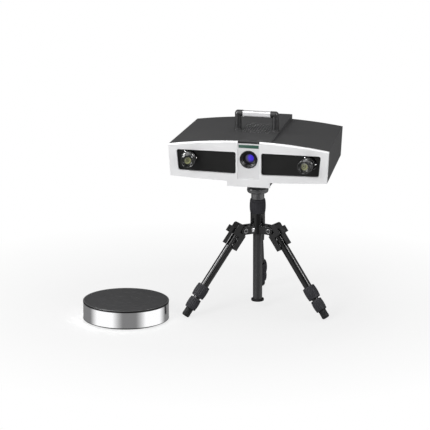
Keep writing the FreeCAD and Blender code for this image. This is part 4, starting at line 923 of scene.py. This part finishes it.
def gripProfile(half, endRadius, bulge, lowBore, highBore, step, band):
    # A barrel-shaped rubber sleeve whose middle carries ribs, with a smooth band at each end
    def swell(level):
        return endRadius + bulge * (1 - (level / half) ** 2)

    edge, inner = sleeveGrip["edge"], half - band
    groove = swell(-inner) - sleeveGrip["grooveDepth"]
    outside = [(endRadius - edge, -half), (endRadius, -half + edge), (swell(-inner), -inner),
               (groove, -inner + sleeveGrip["grooveSlope"]),
               (groove, -inner + sleeveGrip["grooveEnd"])]
    ribbed, levels = inner - sleeveGrip["ribInset"], sleeveGrip["ribLevels"]
    ribs = [(swell(ribbed * level / levels), ribbed * level / levels, "ridge")
            for level in range(-levels, levels + 1)]
    mirrored = [(radius, -level) for radius, level in reversed(outside)]
    return ([(lowBore, -half)] + outside + ribs + mirrored
            + [(highBore, half), (highBore, step), (lowBore, step)])


def makeSleeve(name, kind, joint, body, node):
    ribs = sleeveRibs[kind]
    turnedPiece(name, gripProfile(*sleeves[kind]), turnTo(joint["pos_m"], joint["axis"]),
                lockRubber, body, node, steps=8 * ribs, count=ribs,
                depth=sleeveGrip["ribDepth"], smooth=28)


# Levels are below the leg's fold joint
foot = {"bottom": 243.6, "top": 223.0, "radius": 9.25, "round": 4.0, "roundSteps": 5,
        "bore": 6.9, "boreEnd": 237.0, "topEdge": 0.8, "grooves": (227.0, 230.4, 233.8),
        "grooveWidth": 1.4, "grooveFlat": 0.6, "grooveDepth": 0.8}


def makeFoot(side):
    bottom, top, end, bore = (foot[word] for word in ("bottom", "top", "boreEnd", "bore"))
    radius, rounding, steps = foot["radius"], foot["round"], foot["roundSteps"]
    profile = [(0, -bottom)]
    for step in range(steps + 1):
        angle = math.pi / 2 * step / steps
        profile.append((radius - rounding + rounding * math.sin(angle),
                        -bottom + rounding - rounding * math.cos(angle)))
    wide, flat = foot["grooveWidth"] / 2, foot["grooveFlat"] / 2
    deep = radius - foot["grooveDepth"]
    for groove in reversed(foot["grooves"]):
        profile += [(radius, -groove - wide), (deep, -groove - flat), (deep, -groove + flat),
                    (radius, -groove + wide)]
    profile += [(radius, -top - foot["topEdge"]), (radius - foot["topEdge"], -top),
                (bore, -top), (bore, -end), (0, -end)]
    turnedPiece(f"footTread_{side}", profile, tubePlaces[side], footRubber, f"low_{side}",
                f"rubber_foot_{side}", steps=64, smooth=30)


joinery = {
    "pinEnd": 14.3, "pinScrewRadius": 4.4, "pinScrewRise": 1.3,
    "tabFace": 36.0, "tabTop": -7.0, "tabHeight": 16.0, "tabRibs": 5, "ribWidth": 13.0,
    "ribHeight": 1.3, "ribRise": 0.7, "ribSunk": 0.2, "ribCorner": 0.6, "ribEdge": 0.4,
    "clampFace": 12.5, "clampScrews": ((8.0, -28.0), (8.0, -44.0)), "clampRadius": 3.0,
    "clampRise": 1.5,
}


def makeLegJoinery(side):
    place = legPlaces[side]
    caps, clamps = bmesh.new(), bmesh.new()
    for axis, sign in (("y", 1), ("-y", -1)):
        growScrew(caps, facing(shifted(place, y=sign * joinery["pinEnd"]), axis),
                  joinery["pinScrewRadius"], joinery["pinScrewRise"])
        for x, z in joinery["clampScrews"]:
            growScrew(clamps, facing(shifted(place, x, sign * joinery["clampFace"], z), axis),
                      joinery["clampRadius"], joinery["clampRise"])
    addPiece(f"pinCaps_{side}", caps, screwBlack, "stand")
    addPiece(f"clampScrews_{side}", clamps, screwBlack, f"leg_{side}")

    ribs = bmesh.new()
    pitch = joinery["tabHeight"] / (joinery["tabRibs"] + 1)
    for rib in range(joinery["tabRibs"]):
        z = joinery["tabTop"] - pitch * (rib + 1)
        growSlab(ribs, joinery["ribHeight"], joinery["ribWidth"],
                 joinery["ribRise"] + joinery["ribSunk"], joinery["ribCorner"],
                 joinery["ribEdge"],
                 facing(shifted(place, joinery["tabFace"] - joinery["ribSunk"], 0, z), "x"))
    addPiece(f"tabRibs_{side}", ribs, tabBlack, f"tab_{side}")


# The plate is beside the left leg's fold joint, inward of it and aside of it
spiderPlate = {"inward": 19.3, "aside": 12.2, "width": 9, "height": 7.5, "thickness": 0.8,
               "corner": 0.8, "edge": 0.2}
platform = {"discMiddle": 286.85, "radius": 24.9, "sunk": 0.6, "proud": 0.45, "half": 1.7,
            "edge": 0.3, "knurls": 72, "knurlDepth": 0.5}


def makeSpiderPlate():
    fold = jointNamed("leg_fold_left")
    aside = Vector(fold["axis"])
    aside *= -1 if aside.y > 0 else 1  # toward the front
    inward = stemPlace.translation - Vector(fold["pos_m"])
    inward = Vector((inward.x, inward.y, 0)).normalized()
    origin = (Vector(fold["pos_m"])
              + (inward * spiderPlate["inward"] + aside * spiderPlate["aside"]) / 1000)
    shape = bmesh.new()
    growSlab(shape, spiderPlate["width"], spiderPlate["height"], spiderPlate["thickness"],
             spiderPlate["corner"], spiderPlate["edge"], turnTo(origin, aside, (0, 0, 1)))
    addPiece("spiderPlate", shape, brightSteel, "stand")


def makePlatformKnurl():
    inner = platform["radius"] - platform["sunk"]
    outer = platform["radius"] + platform["proud"]
    low = platform["discMiddle"] - platform["half"]
    high = platform["discMiddle"] + platform["half"]
    turnedPiece("platformKnurl", [
        (inner, low), (outer, low + platform["edge"], "ridge"),
        (outer, high - platform["edge"], "ridge"), (inner, high)],
        stemPlace, discBlack, "column", steps=4 * platform["knurls"],
        count=platform["knurls"], depth=platform["knurlDepth"], smooth=20)


for side in legSides:
    for kind in ("upper", "lower"):
        makeSleeve(f"{kind}Grip_{side}", kind, jointNamed(f"{kind}_twist_{side}"),
                   f"{kind}_twist_{side}", f"{kind}_lock_{side}")
    makeFoot(side)
    makeLegJoinery(side)
makeSleeve("collarGrip", "collar", jointNamed("collar_twist"), "collar", "column_collar")
makeSpiderPlate()
makePlatformKnurl()
print("tripod details")


# Turntable

turntable = {
    "padRadius": 96.5, "padLow": 46.2, "padTop": 46.75, "padEdge": (0.3, 0.25),
    "grooves": (30, 60, 90), "grooveHalf": 0.5, "grooveDepth": 0.3, "steps": 160,
    # inner radius, outer radius, low, high, lower edge, upper edge
    "rim": (98.5, 100.35, 42.0, 45.9, 0.4, 0.6),
    "foot": (97.0, 100.15, 3.3, 5.0, 0.3, 0.3),
}


def makeTurntableTrim():
    radius, low, top = turntable["padRadius"], turntable["padLow"], turntable["padTop"]
    across, down = turntable["padEdge"]
    profile = [(0, low), (radius, low), (radius, top - down), (radius - across, top)]
    half = turntable["grooveHalf"]
    for groove in reversed(turntable["grooves"]):
        profile += [(groove + half, top), (groove, top - turntable["grooveDepth"]),
                    (groove - half, top)]
    steps = turntable["steps"]
    turnedPiece("platterPad", profile + [(0, top)], tablePlace, padBlack, "platter",
                steps=steps, smooth=20)
    turnedPiece("platterRim", ringProfile(*turntable["rim"]), tablePlace, edgeBlack, "platter",
                steps=steps)
    turnedPiece("shellFoot", ringProfile(*turntable["foot"]), tablePlace, edgeBlack, "stand",
                steps=steps)


makeTurntableTrim()
print("turntable details")
